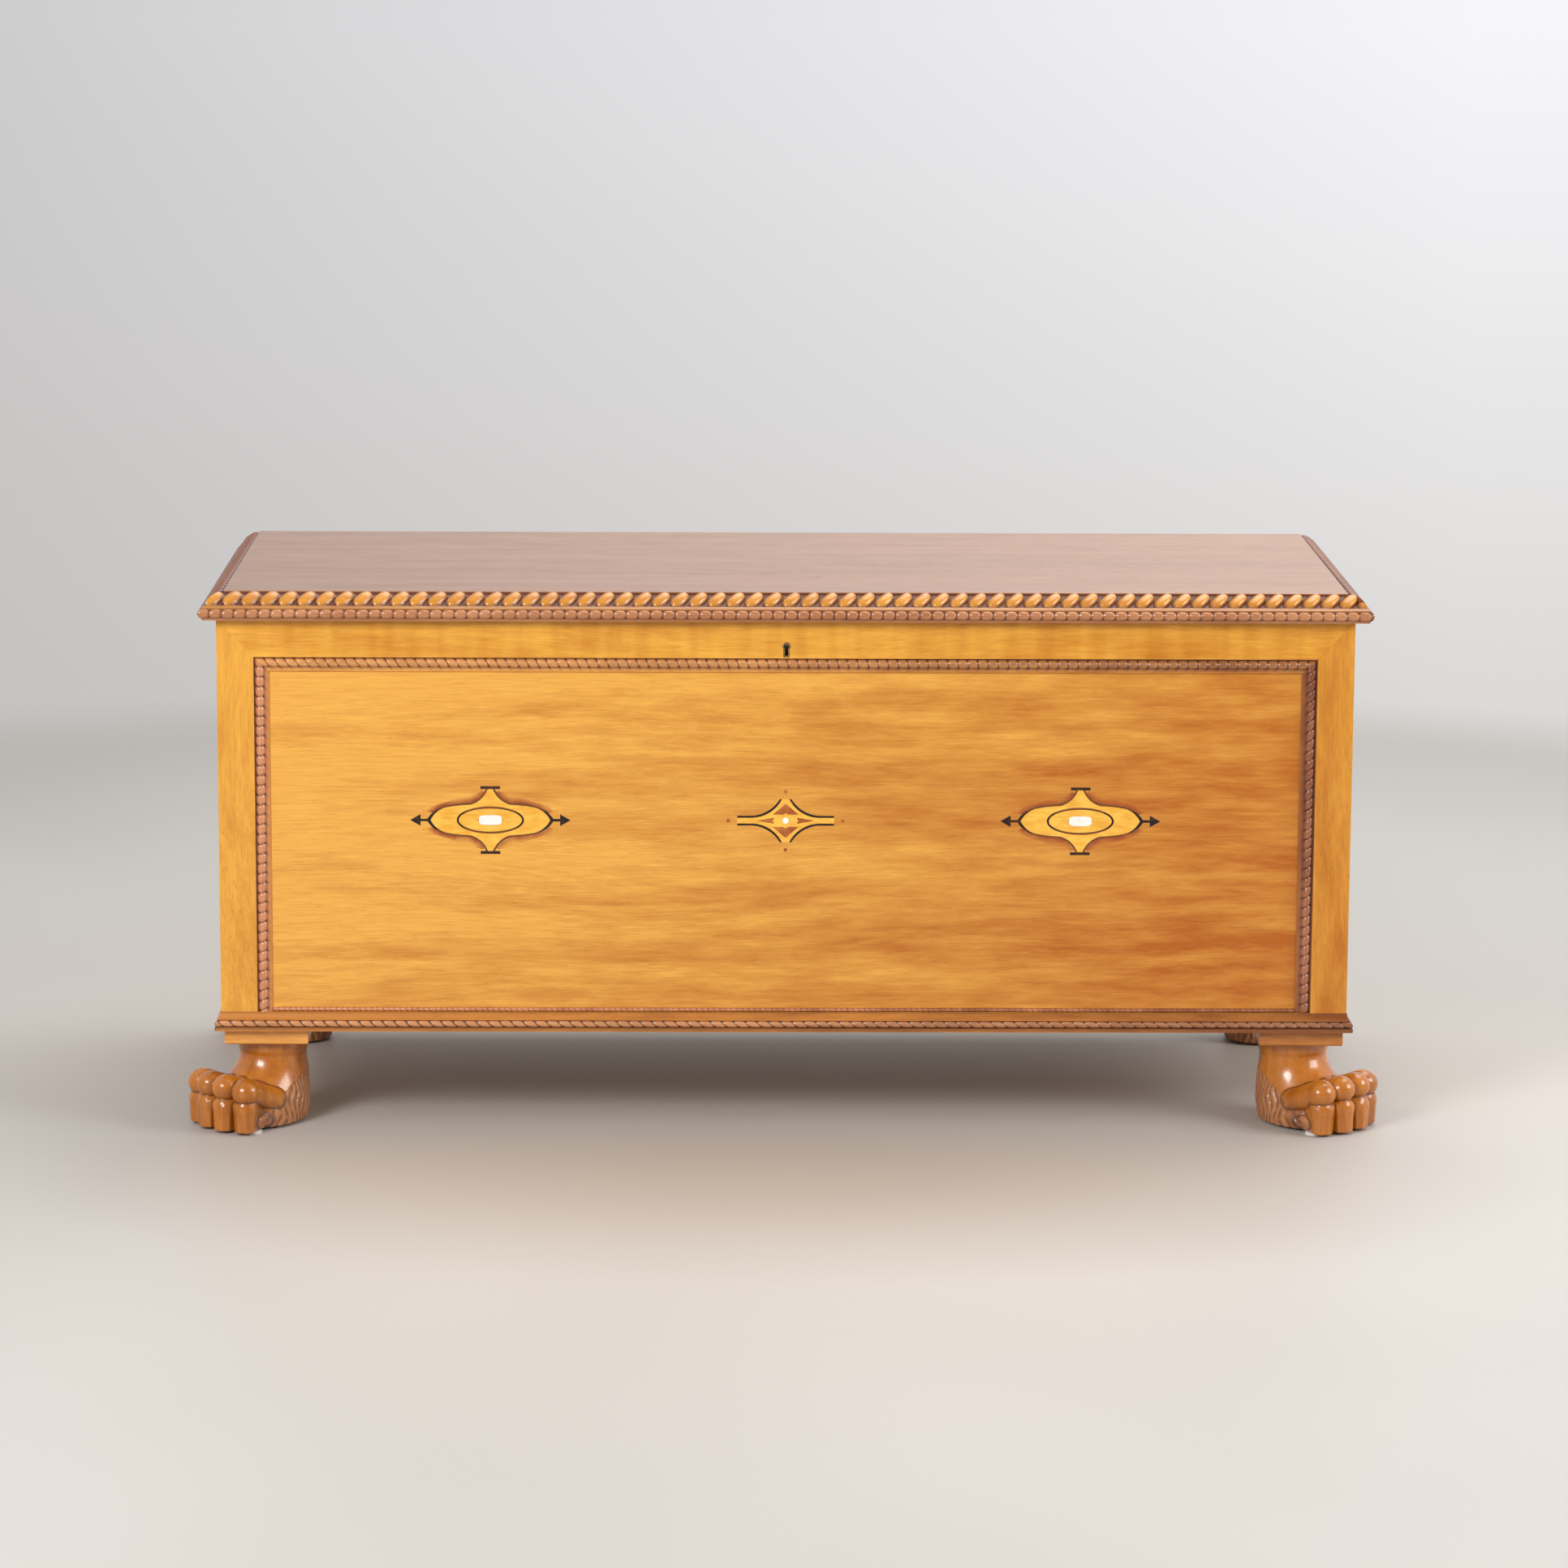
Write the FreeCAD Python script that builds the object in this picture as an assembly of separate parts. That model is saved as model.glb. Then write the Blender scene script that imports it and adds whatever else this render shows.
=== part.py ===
import FreeCAD, Part
import math
import os

# A low oak chest with a hinged lid, a mitred front frame, beaded and rope-carved mouldings,
# marquetry medallions and four carved lion paws.
# Millimetres. The origin is on the floor under the middle of the body, +X to the right as the front is
# seen, +Y to the back and +Z up.

V = FreeCAD.Vector
right = V(1, 0, 0)
left = V(-1, 0, 0)
back = V(0, 1, 0)
front = V(0, -1, 0)
up = V(0, 0, 1)

# Body
body_width = 1262.0
body_depth = 507.0
body_height = 465.5
post_width = 41.0
top_rail_height = 42.5
bottom_rail_height = 21.0
rail_thickness = 22.0
panel_thickness = 12.0
panel_recess = 5.0
groove_depth = 8.0
back_board_thickness = 18.0
bottom_board_thickness = 14.0
# How much of the back's height its lower board takes
lower_back_board_share = 0.5

# Beaded mouldings that frame the panels
bead_strip_width = 17.0
bead_strip_thickness = 1.8
bead_crest_radius = 5.0
bead_neck_radius = 3.0
bead_pitch = 10.4
bead_inset = 5.6
low_strip_height = 4.6
low_bead_radius = 2.0
low_bead_neck_radius = 1.3
low_bead_pitch = 6.5

# Base moulding, from the underside of the body up
base_lip_reach = 5.0
base_lip_height = 4.2
base_ledge_reach = 3.2
base_ledge_height = 12.0
base_cove_reach = 4.6
base_cove_start_height = 12.6
base_cove_sag = 1.4
base_top_reach = 0.8
base_rope_radius = 3.8
base_rope_neck_radius = 2.6
base_rope_pitch = 13.1

# Feet
foot_height = 96.0
plinth_width = 93.5
plinth_thickness = 17.5
plinth_inset = 3.0
plinth_chamfer = 1.5
glide_thickness = 3.0
glide_radius = 9.0
ankle_inset = 8.0
ankle_radius = 38.0
ankle_waist_radius = 34.5
ankle_collar_height = 9.0
ankle_waist_drop = 20.0
heel_radius = 38.5
heel_top_radius = 37.0
heel_foot_radius = 34.0
heel_top_height = 60.0
instep_reach = 22.0
instep_radius = 47.0
instep_centre_height = 15.0
toe_turn_degrees = 45.0
toe_count = 4
toe_spread_degrees = 68.0
knuckle_reach = 66.0
knuckle_height = 54.0
knuckle_radius = 14.5
ridge_start_reach = 26.0
ridge_start_height = 58.0
ridge_radius = 11.5
claw_reach = 80.5
claw_top_height = 32.0
claw_radius = 13.8
heel_glide_reach = 20.0
toe_glide_reach = 70.0

# Lid
lid_gap = 0.3
lid_thickness = 30.0
lid_overhang = 19.0
lid_moulding_width = 27.0
lid_bead_crest_radius = 4.0
lid_bead_neck_radius = 2.6
lid_bead_pitch = 13.5
lid_bead_height = 9.0
lid_lip_top_height = 14.0
lid_lip_bottom_height = 3.0
lid_under_inset = 5.0
rope_pitch = 20.6
rope_radius = 8.0
rope_half_length = 4.2
rope_sink = 4.2
rope_lean_degrees = 35.0
# How far down the sloping face the middle of the rope runs
rope_place_share = 0.45
lid_back_corner_radius = 12.0

# Hinges
hinge_spacing = 760.0
hinge_length = 60.0
hinge_leaf_width = 17.0
hinge_leaf_thickness = 2.0
hinge_barrel_radius = 4.2
hinge_barrel_clearance = 0.5
hinge_pin_radius = 2.0
hinge_pin_fit = 0.05
hinge_knuckle_gap = 0.3
hinge_pin_head_length = 2.0
hinge_screw_spacing = 20.0
screw_head_radius = 3.2
screw_shank_radius = 1.6
screw_length = 14.0

# Lock
lock_width = 64.0
lock_height = 46.0
lock_depth = 14.0
lock_wall = 1.5
lock_cap_thickness = 1.5
lock_cap_lug = 9.0
lock_screw_length = 9.0
lock_screw_head_radius = 2.4
lock_screw_shank_radius = 1.2
lock_screw_edge = 8.0
bolt_width = 46.0
bolt_height = 15.0
bolt_thickness = 5.0
bolt_tongue_width = 18.0
bolt_travel = 8.0
bolt_clearance = 0.3
bolt_guide_gap = 0.5
strike_length = 50.0
strike_width = 17.0
strike_thickness = 1.5
strike_pocket_depth = 10.0
strike_screw_spacing = 38.0
keyhole_bottom_height = 1.5
keyhole_height = 16.2
keyhole_radius = 3.0
keyhole_slot_width = 3.4
keyhole_lining = 1.4
key_pin_radius = 1.6

# Marquetry, let into the face of the front panel
inlay_thickness = 1.2
medallion_spacing = 329.0
medallion_height = 352.5
stringing_width = 2.2
cartouche_half_width = 71.0
cartouche_half_height = 35.0
neck_half_width = 5.0
ogee_half_width = 24.0
ogee_height = 19.5
flank_half_width = 49.0
flank_height = 16.5
shade_foot_half_width = 75.0
shade_foot_height = 12.5
shade_top_half_width = 9.5
shade_top_height = 33.0
shade_heel_half_width = 64.0
shade_heel_height = 8.0
cap_half_width = 11.0
cap_height = 3.4
finial_reach = 89.5
finial_shoulder_reach = 81.0
finial_half_height = 6.6
finial_stem_width = 3.0
ring_half_width = 37.5
ring_half_height = 15.5
ring_width = 2.4
pearl_half_width = 13.5
pearl_half_height = 6.0
# How full the cartouche's ends are, and how much faster its tip draws in than its sides
cartouche_bow_share = 0.62
cartouche_bow_draw_share = 0.7
cartouche_tip_draw_share = 2.0
star_half_width = 54.0
star_half_height = 24.5
star_arm_height = 5.6
star_line_width = 2.4
star_shoulder_half_width = 19.0
star_shoulder_height = 11.5
star_point_half_width = 6.4
star_border_width = 2.0
star_heart_half_width = 15.0
star_heart_half_height = 8.6
star_corner_base_height = 7.0
star_corner_top_height = 19.5
star_corner_half_width = 14.5
star_side_half_width = 32.0
star_seed_radius = 3.4
star_dot_radius = 2.1
star_dot_reach = 64.0
star_dot_rise = 33.0

# Places that follow from the sizes above
body_bottom = foot_height + plinth_thickness
body_top = body_bottom + body_height
half_width = body_width / 2
half_depth = body_depth / 2
lid_bottom = body_top + lid_gap
lid_top = lid_bottom + lid_thickness
opening_bottom = body_bottom + bottom_rail_height
opening_top = body_top - top_rail_height
panel_half_width = half_width - post_width + groove_depth
panel_half_depth = half_depth - post_width + groove_depth
panel_bottom = opening_bottom - groove_depth
panel_top = opening_top + groove_depth
front_panel_face = -half_depth + panel_recess
lid_front = -half_depth - lid_overhang
lid_half_width = half_width + lid_overhang
lid_panel_half_width = lid_half_width - lid_moulding_width
lid_panel_front = lid_front + lid_moulding_width
hinge_axis_y = half_depth + hinge_barrel_clearance + hinge_barrel_radius
hinge_axis_z = body_top + lid_gap / 2
lock_back = -half_depth + rail_thickness
lock_front = lock_back - lock_depth
lock_bottom = body_top - lock_height
keyhole_bottom = opening_top + keyhole_bottom_height
keyhole_centre = keyhole_bottom + keyhole_height - keyhole_radius - keyhole_lining
bolt_top = body_top - lock_wall - bolt_travel - bolt_guide_gap
bolt_bottom = bolt_top - bolt_height
bolt_back = lock_back - bolt_clearance
bolt_front = bolt_back - bolt_thickness


# Building helpers

def block(low, high):
    """A box from its lowest to its highest corner."""
    size = high - low
    return Part.makeBox(size.x, size.y, size.z, low)


def prism(points, reach):
    """A flat outline of corners, extruded."""
    wire = Part.makePolygon(points + points[:1])
    return Part.Face(wire).extrude(reach)


def place(shape, origin, across, outward):
    """Put a shape drawn with X along, Y across and Z outward where it belongs."""
    along = across.cross(outward)
    placed = shape.copy()
    placed.Placement = FreeCAD.Placement(origin, FreeCAD.Rotation(along, across, outward))
    return placed


def in_plan(shape, sign_x, sign_y):
    """Mirror a shape of the right front corner to another corner."""
    if sign_x < 0:
        shape = shape.mirror(V(0, 0, 0), right)
    if sign_y > 0:
        shape = shape.mirror(V(0, 0, 0), back)
    return shape


def fused(shapes):
    """Join shapes that make one solid."""
    return shapes[0].multiFuse(shapes[1:]).removeSplitter()


def save(name, shape):
    """Write one sub-part."""
    shape.exportStep("parts/" + name + ".step")


def bead_row(length, pitch, crest, neck):
    """Half-round beads in a row along X, with their flat side at Z = 0."""
    count = max(1, round(length / pitch))
    step = length / count
    edges = []
    for index in range(count):
        start = V(index * step, neck, 0)
        middle = V(index * step + step / 2, crest, 0)
        end = V(index * step + step, neck, 0)
        edges.append(Part.Arc(start, middle, end).toShape())
    edges.append(Part.makeLine(V(length, neck, 0), V(length, 0, 0)))
    edges.append(Part.makeLine(V(length, 0, 0), V(0, 0, 0)))
    edges.append(Part.makeLine(V(0, 0, 0), V(0, neck, 0)))
    face = Part.Face(Part.Wire(edges))
    return face.revolve(V(0, 0, 0), right, 180)


def rounded_pin(radius, half_length, centre, axis):
    """A short bar with round ends about a centre."""
    slant = radius * math.sqrt(1 / 2)
    edges = [
        Part.Arc(V(0, 0, -half_length - radius),
                 V(slant, 0, -half_length - slant),
                 V(radius, 0, -half_length)).toShape(),
        Part.makeLine(V(radius, 0, -half_length), V(radius, 0, half_length)),
        Part.Arc(V(radius, 0, half_length),
                 V(slant, 0, half_length + slant),
                 V(0, 0, half_length + radius)).toShape(),
        Part.makeLine(V(0, 0, half_length + radius), V(0, 0, -half_length - radius)),
    ]
    solid = Part.Face(Part.Wire(edges)).revolve(V(0, 0, 0), up, 360)
    solid.Placement = FreeCAD.Placement(centre, FreeCAD.Rotation(up, axis))
    return solid


def ball(radius, centre, axis):
    """A sphere whose poles lie along an axis."""
    solid = Part.makeSphere(radius)
    solid.Placement = FreeCAD.Placement(centre, FreeCAD.Rotation(up, axis))
    return solid


def screw(head_radius, shank_radius, length):
    """A countersunk wood screw along -Z, with the top of its head at Z = 0."""
    head_depth = head_radius - shank_radius
    outline = [
        V(0, 0, 0),
        V(head_radius, 0, 0),
        V(shank_radius, 0, -head_depth),
        V(shank_radius, 0, -length + shank_radius),
        V(0, 0, -length),
    ]
    wire = Part.makePolygon(outline + outline[:1])
    return Part.Face(wire).revolve(V(0, 0, 0), up, 360)


def screws_at(points, direction, head_radius, shank_radius, length):
    """Screws driven from their heads along a direction."""
    made = []
    for point in points:
        one = screw(head_radius, shank_radius, length)
        one.Placement = FreeCAD.Placement(point, FreeCAD.Rotation(V(0, 0, -1), direction))
        made.append(one)
    return made


# Mouldings, drawn with X along, Y across and Z outward

def flat_mitre(length, width, thickness, start, end):
    """The space of a strip whose ends may be mitred across its width."""
    outline = [
        V(0, 0, 0),
        V(length, 0, 0),
        V(length - width * end, width, 0),
        V(width * start, width, 0),
    ]
    return prism(outline, V(0, 0, thickness))


def corner_mitre(length, height, reach, start, end):
    """The space of a moulding that may turn an outside corner at its ends."""
    outline = [
        V(0, 0, 0),
        V(length, 0, 0),
        V(length + reach * end, 0, reach),
        V(-reach * start, 0, reach),
    ]
    return prism(outline, V(0, height, 0))


def bead_strip(length, start, end):
    """A flat strip with a row of half-round beads along its outer edge."""
    height = bead_strip_thickness + bead_crest_radius
    strip = block(V(0, 0, 0), V(length, bead_strip_width, bead_strip_thickness))
    beads = bead_row(length, bead_pitch, bead_crest_radius, bead_neck_radius)
    beads.translate(V(0, bead_inset, bead_strip_thickness))
    whole = strip.fuse(beads)
    return whole.common(flat_mitre(length, bead_strip_width, height, start, end))


def low_bead_strip(length):
    """The thin beaded strip just above the base moulding."""
    strip = block(V(0, 0, 0), V(length, low_strip_height, bead_strip_thickness))
    beads = bead_row(length, low_bead_pitch, low_bead_radius, low_bead_neck_radius)
    beads.translate(V(0, low_strip_height / 2, bead_strip_thickness))
    return strip.fuse(beads)


def base_moulding(length, start, end):
    """Lip, rope row and cove that run round the foot of the body."""
    reach = base_ledge_reach + base_rope_radius
    cove_low = V(0, base_cove_start_height, base_cove_reach)
    cove_high = V(0, bottom_rail_height, base_top_reach)
    cove_middle = (cove_low + cove_high) / 2 - V(0, 0, base_cove_sag)
    corners = [
        cove_high,
        V(0, bottom_rail_height, 0),
        V(0, 0, 0),
        V(0, 0, base_lip_reach),
        V(0, base_lip_height, base_lip_reach),
        V(0, base_lip_height, base_ledge_reach),
        V(0, base_ledge_height, base_ledge_reach),
        cove_low,
    ]
    edges = [Part.makeLine(a, b) for a, b in zip(corners, corners[1:])]
    edges.append(Part.Arc(cove_low, cove_middle, cove_high).toShape())
    bar = Part.Face(Part.Wire(edges)).extrude(V(length + reach * (start + end), 0, 0))
    bar.translate(V(-reach * start, 0, 0))
    row_length = length + reach * (start + end)
    row = bead_row(row_length, base_rope_pitch, base_rope_radius, base_rope_neck_radius)
    row.translate(V(-reach * start, (base_lip_height + base_ledge_height) / 2, base_ledge_reach))
    whole = bar.fuse(row)
    return whole.common(corner_mitre(length, bottom_rail_height, reach, start, end))


def rope_lobes(length, start, end):
    """The leaning lobes carved on the sloping face of the lid's moulding."""
    lip_reach = lid_moulding_width - lid_bead_crest_radius
    slope_top = V(0, lid_thickness, 0)
    slope_bottom = V(0, lid_lip_top_height, lip_reach)
    slope = slope_top - slope_bottom
    normal = slope.cross(right)
    slope.normalize()
    normal.normalize()
    middle = slope_top * (1 - rope_place_share) + slope_bottom * rope_place_share - normal * rope_sink
    lean = math.radians(rope_lean_degrees)
    axis = slope * math.cos(lean) + right * math.sin(lean)
    row_start = -middle.z * start
    row_length = length + middle.z * (start + end)
    count = max(1, round(row_length / rope_pitch))
    step = row_length / count
    lobes = []
    for index in range(count):
        centre = V(row_start + index * step + step / 2, middle.y, middle.z)
        lobes.append(rounded_pin(rope_radius, rope_half_length, centre, axis))
    return lobes


def lid_moulding(length, start, end):
    """The lid's edge: rope on the slope, a plain band, and small beads at the lip."""
    lip_reach = lid_moulding_width - lid_bead_crest_radius
    full_length = length + lid_moulding_width * (start + end)
    shift = V(-lid_moulding_width * start, 0, 0)
    outline = [
        V(0, 0, 0),
        V(0, 0, lid_moulding_width - lid_under_inset),
        V(0, lid_lip_bottom_height, lip_reach),
        V(0, lid_lip_top_height, lip_reach),
        V(0, lid_thickness, 0),
    ]
    bar = prism(outline, V(full_length, 0, 0))
    bar.translate(shift)
    row = bead_row(full_length, lid_bead_pitch, lid_bead_crest_radius, lid_bead_neck_radius)
    row.translate(shift + V(0, lid_bead_height, lip_reach))
    whole = bar.multiFuse([row] + rope_lobes(length, start, end))
    return whole.common(corner_mitre(length, lid_thickness, lid_moulding_width, start, end))


# Carcase

def top_rail_space(length, mitre_start, mitre_end):
    """A top rail, X along, Y up from its lower edge, Z outward, with its face at Z = rail_thickness."""
    face = prism([
        V(post_width, 0, 0),
        V(length - post_width, 0, 0),
        V(length, top_rail_height, 0),
        V(0, top_rail_height, 0),
    ], V(0, 0, rail_thickness))
    plan = prism([
        V(rail_thickness * mitre_start, 0, 0),
        V(length - rail_thickness * mitre_end, 0, 0),
        V(length, 0, rail_thickness),
        V(0, 0, rail_thickness),
    ], V(0, top_rail_height, 0))
    return face.common(plan)


def top_rails():
    """The front top rail and the two side ones, mitred with each other and with the posts."""
    inner = rail_thickness
    front_rail = place(top_rail_space(body_width, 1, 1),
                       V(-half_width, -half_depth + inner, opening_top), up, front)
    left_rail = place(top_rail_space(body_depth, 0, 1),
                      V(-half_width + inner, half_depth, opening_top), up, left)
    right_rail = place(top_rail_space(body_depth, 1, 0),
                       V(half_width - inner, -half_depth, opening_top), up, right)
    return front_rail, left_rail, right_rail


def bottom_rails():
    """The rails between the posts, behind the base moulding."""
    inner_x = half_width - post_width
    inner_y = half_depth - post_width
    front_rail = block(V(-inner_x, -half_depth, body_bottom),
                       V(inner_x, -half_depth + rail_thickness, opening_bottom))
    right_rail = block(V(half_width - rail_thickness, -inner_y, body_bottom),
                       V(half_width, inner_y, opening_bottom))
    left_rail = right_rail.mirror(V(0, 0, 0), right)
    return front_rail, left_rail, right_rail


def panels():
    """The front panel and the two side ones, held in grooves of the posts and rails."""
    front_panel = block(V(-panel_half_width, front_panel_face, panel_bottom),
                        V(panel_half_width, front_panel_face + panel_thickness, panel_top))
    side_face = half_width - panel_recess
    right_panel = block(V(side_face - panel_thickness, -panel_half_depth, panel_bottom),
                        V(side_face, panel_half_depth, panel_top))
    left_panel = right_panel.mirror(V(0, 0, 0), right)
    return front_panel, left_panel, right_panel


def back_boards():
    """Two boards edge to edge, rebated into the back posts."""
    seam = body_bottom + body_height * lower_back_board_share
    inner = half_depth - back_board_thickness
    lower = block(V(-panel_half_width, inner, body_bottom), V(panel_half_width, half_depth, seam))
    upper = block(V(-panel_half_width, inner, seam), V(panel_half_width, half_depth, body_top))
    return lower, upper


def corner_posts():
    """The four posts as plain squares, the right front one first."""
    post = block(V(half_width - post_width, -half_depth, body_bottom),
                 V(half_width, -half_depth + post_width, body_top))
    return {
        "front_left_post": in_plan(post, -1, -1),
        "front_right_post": in_plan(post, 1, -1),
        "back_left_post": in_plan(post, -1, 1),
        "back_right_post": in_plan(post, 1, 1),
    }


def bottom_board(posts):
    """The chest's floor, between the rails and notched round the posts."""
    board = block(
        V(-half_width + rail_thickness, -half_depth + rail_thickness, body_bottom),
        V(half_width - rail_thickness, half_depth - back_board_thickness,
          body_bottom + bottom_board_thickness))
    return board.cut(list(posts))


def bead_frames():
    """The beaded strips round the front and the side panels, with a thin one at the foot of each."""
    rise = opening_top - opening_bottom
    upright_start = bead_strip(rise, 1, 0)
    upright_end = bead_strip(rise, 0, 1)
    made = {}
    inner_x = half_width - post_width
    inner_y = half_depth - post_width
    side_face = half_width - panel_recess
    sides = [
        ("front", "left", "right", V(0, front_panel_face, 0), right, front, inner_x),
        ("left", "back", "front", V(-side_face, 0, 0), front, left, inner_y),
        ("right", "front", "back", V(side_face, 0, 0), back, right, inner_y),
    ]
    for name, first, last, middle, along, outward, half_length in sides:
        low = middle + up * opening_bottom
        high = middle + up * opening_top
        start_top = high + along * half_length
        made[name + "_panel_top_bead"] = place(bead_strip(2 * half_length, 1, 1), start_top, up * -1, outward)
        made[name + "_panel_" + first + "_bead"] = place(upright_start, high - along * half_length,
                                                         along, outward)
        made[name + "_panel_" + last + "_bead"] = place(upright_end, low + along * half_length,
                                                        along * -1, outward)
        low_half = half_length - bead_strip_width
        made[name + "_panel_bottom_bead"] = place(low_bead_strip(2 * low_half),
                                                  low - along * low_half, up, outward)
    return made


def base_mouldings():
    """The moulding round the foot of the body, mitred at the front corners."""
    long_run = base_moulding(body_width, 1, 1)
    left_run = base_moulding(body_depth, 0, 1)
    right_run = base_moulding(body_depth, 1, 0)
    return {
        "base_moulding_front": place(long_run, V(-half_width, -half_depth, body_bottom), up, front),
        "base_moulding_left": place(left_run, V(-half_width, half_depth, body_bottom), up, left),
        "base_moulding_right": place(right_run, V(half_width, -half_depth, body_bottom), up, right),
    }


# Feet

def plinth_block():
    """The square block between the body and the right front paw."""
    outer_x = half_width - plinth_inset
    outer_y = half_depth - plinth_inset
    solid = block(V(outer_x - plinth_width, -outer_y, foot_height),
                  V(outer_x, -outer_y + plinth_width, body_bottom))
    lower_edges = [edge for edge in solid.Edges if edge.BoundBox.ZMax < body_bottom - plinth_chamfer]
    return solid.makeChamfer(plinth_chamfer, lower_edges)


def ankle_and_heel():
    """The round ankle with its collar, and the heel below it, turned about one upright axis."""
    collar_bottom = foot_height - ankle_collar_height
    waist_height = foot_height - ankle_waist_drop
    middle_height = (heel_top_height + glide_thickness) / 2
    edges = [
        Part.makeLine(V(0, 0, foot_height), V(ankle_radius, 0, foot_height)),
        Part.makeLine(V(ankle_radius, 0, foot_height), V(ankle_radius, 0, collar_bottom)),
        Part.Arc(V(ankle_radius, 0, collar_bottom), V(ankle_waist_radius, 0, waist_height),
                 V(heel_top_radius, 0, heel_top_height)).toShape(),
        Part.Arc(V(heel_top_radius, 0, heel_top_height), V(heel_radius, 0, middle_height),
                 V(heel_foot_radius, 0, glide_thickness)).toShape(),
        Part.makeLine(V(heel_foot_radius, 0, glide_thickness), V(0, 0, glide_thickness)),
        Part.makeLine(V(0, 0, glide_thickness), V(0, 0, foot_height)),
    ]
    solid = Part.Face(Part.Wire(edges)).revolve(V(0, 0, 0), up, 360)
    solid.translate(V(-ankle_inset, 0, 0))
    return solid


def instep():
    """The broad dome of the paw between the ankle and the toes."""
    return ball(instep_radius, V(instep_reach, 0, instep_centre_height), up)


def toe(angle):
    """One toe: a ridge along the instep, the raised knuckle, and the claw segment down to the floor."""
    outward = V(math.cos(angle), math.sin(angle), 0)
    ridge_start = outward * ridge_start_reach + up * ridge_start_height
    knuckle = outward * knuckle_reach + up * knuckle_height
    span = knuckle - ridge_start
    ridge = rounded_pin(ridge_radius, span.Length / 2, (ridge_start + knuckle) / 2, span)
    joint = ball(knuckle_radius, knuckle, outward)
    claw_half = claw_top_height / 2
    claw = rounded_pin(claw_radius, claw_half, outward * claw_reach + up * claw_half, up)
    return [ridge, joint, claw]


def paw():
    """A lion's paw with its toes towards +X, about the middle of the block above it."""
    pieces = [ankle_and_heel(), instep()]
    spread = math.radians(toe_spread_degrees)
    for index in range(toe_count):
        angle = spread * index / (toe_count - 1) - spread / 2
        pieces.extend(toe(angle))
    whole = fused(pieces)
    span = 2 * (claw_reach + claw_radius)
    ground = block(V(-span, -span, -span), V(span, span, glide_thickness))
    return whole.cut(ground)


def foot_place(shape):
    """Turn a foot's shape to the corner and set it under the right front block."""
    middle_x = half_width - plinth_inset - plinth_width / 2
    middle_y = half_depth - plinth_inset - plinth_width / 2
    turned = shape.copy()
    turned.Placement = FreeCAD.Placement(V(middle_x, -middle_y, 0), FreeCAD.Rotation(up, -toe_turn_degrees))
    return turned


def foot_glides():
    """Felt pads under one foot: one below the heel and one below each outer toe."""
    half_spread = math.radians(toe_spread_degrees) / 2
    places = [V(-heel_glide_reach, 0, 0)]
    for angle in (-half_spread, half_spread):
        places.append(V(math.cos(angle), math.sin(angle), 0) * toe_glide_reach)
    return [Part.makeCylinder(glide_radius, glide_thickness, at) for at in places]


# Lid

def lid_panel():
    """The board inside the mouldings."""
    return block(V(-lid_panel_half_width, lid_panel_front, lid_bottom),
                 V(lid_panel_half_width, half_depth, lid_top))


def lid_mouldings():
    """The carved edge of the lid, mitred at the front and rounded at the back corners."""
    depth = half_depth - lid_panel_front
    front_run = place(lid_moulding(2 * lid_panel_half_width, 1, 1),
                      V(-lid_panel_half_width, lid_panel_front, lid_bottom), up, front)
    right_run = place(lid_moulding(depth, 1, 0),
                      V(lid_panel_half_width, lid_panel_front, lid_bottom), up, right)
    left_run = place(lid_moulding(depth, 0, 1),
                     V(-lid_panel_half_width, half_depth, lid_bottom), up, left)
    corner = block(V(lid_half_width - lid_back_corner_radius, half_depth - lid_back_corner_radius,
                     lid_bottom), V(lid_half_width, half_depth, lid_top))
    round_post = Part.makeCylinder(
        lid_back_corner_radius, lid_thickness,
        V(lid_half_width - lid_back_corner_radius, half_depth - lid_back_corner_radius, lid_bottom))
    waste = corner.cut(round_post)
    right_run = right_run.cut(waste)
    left_run = left_run.cut(waste.mirror(V(0, 0, 0), right))
    return {
        "lid_moulding_front": front_run,
        "lid_moulding_left": left_run,
        "lid_moulding_right": right_run,
    }


# Hinges

def barrel(low_x, high_x):
    """A piece of the hinge's barrel."""
    return Part.makeCylinder(hinge_barrel_radius, high_x - low_x, V(low_x, 0, 0), right)


def leaf(low_z, knuckles):
    """A leaf about the hinge's middle, on the hinge axis, with the knuckles that it carries."""
    half = hinge_length / 2
    plate_back = -hinge_barrel_radius - hinge_barrel_clearance
    plate_front = plate_back - hinge_leaf_width
    shapes = [block(V(-half, plate_front, low_z), V(half, plate_back, low_z + hinge_leaf_thickness))]
    for low_x, high_x in knuckles:
        shapes.append(block(V(low_x, plate_back, low_z), V(high_x, 0, low_z + hinge_leaf_thickness)))
        shapes.append(barrel(low_x, high_x))
    return fused(shapes)


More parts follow.
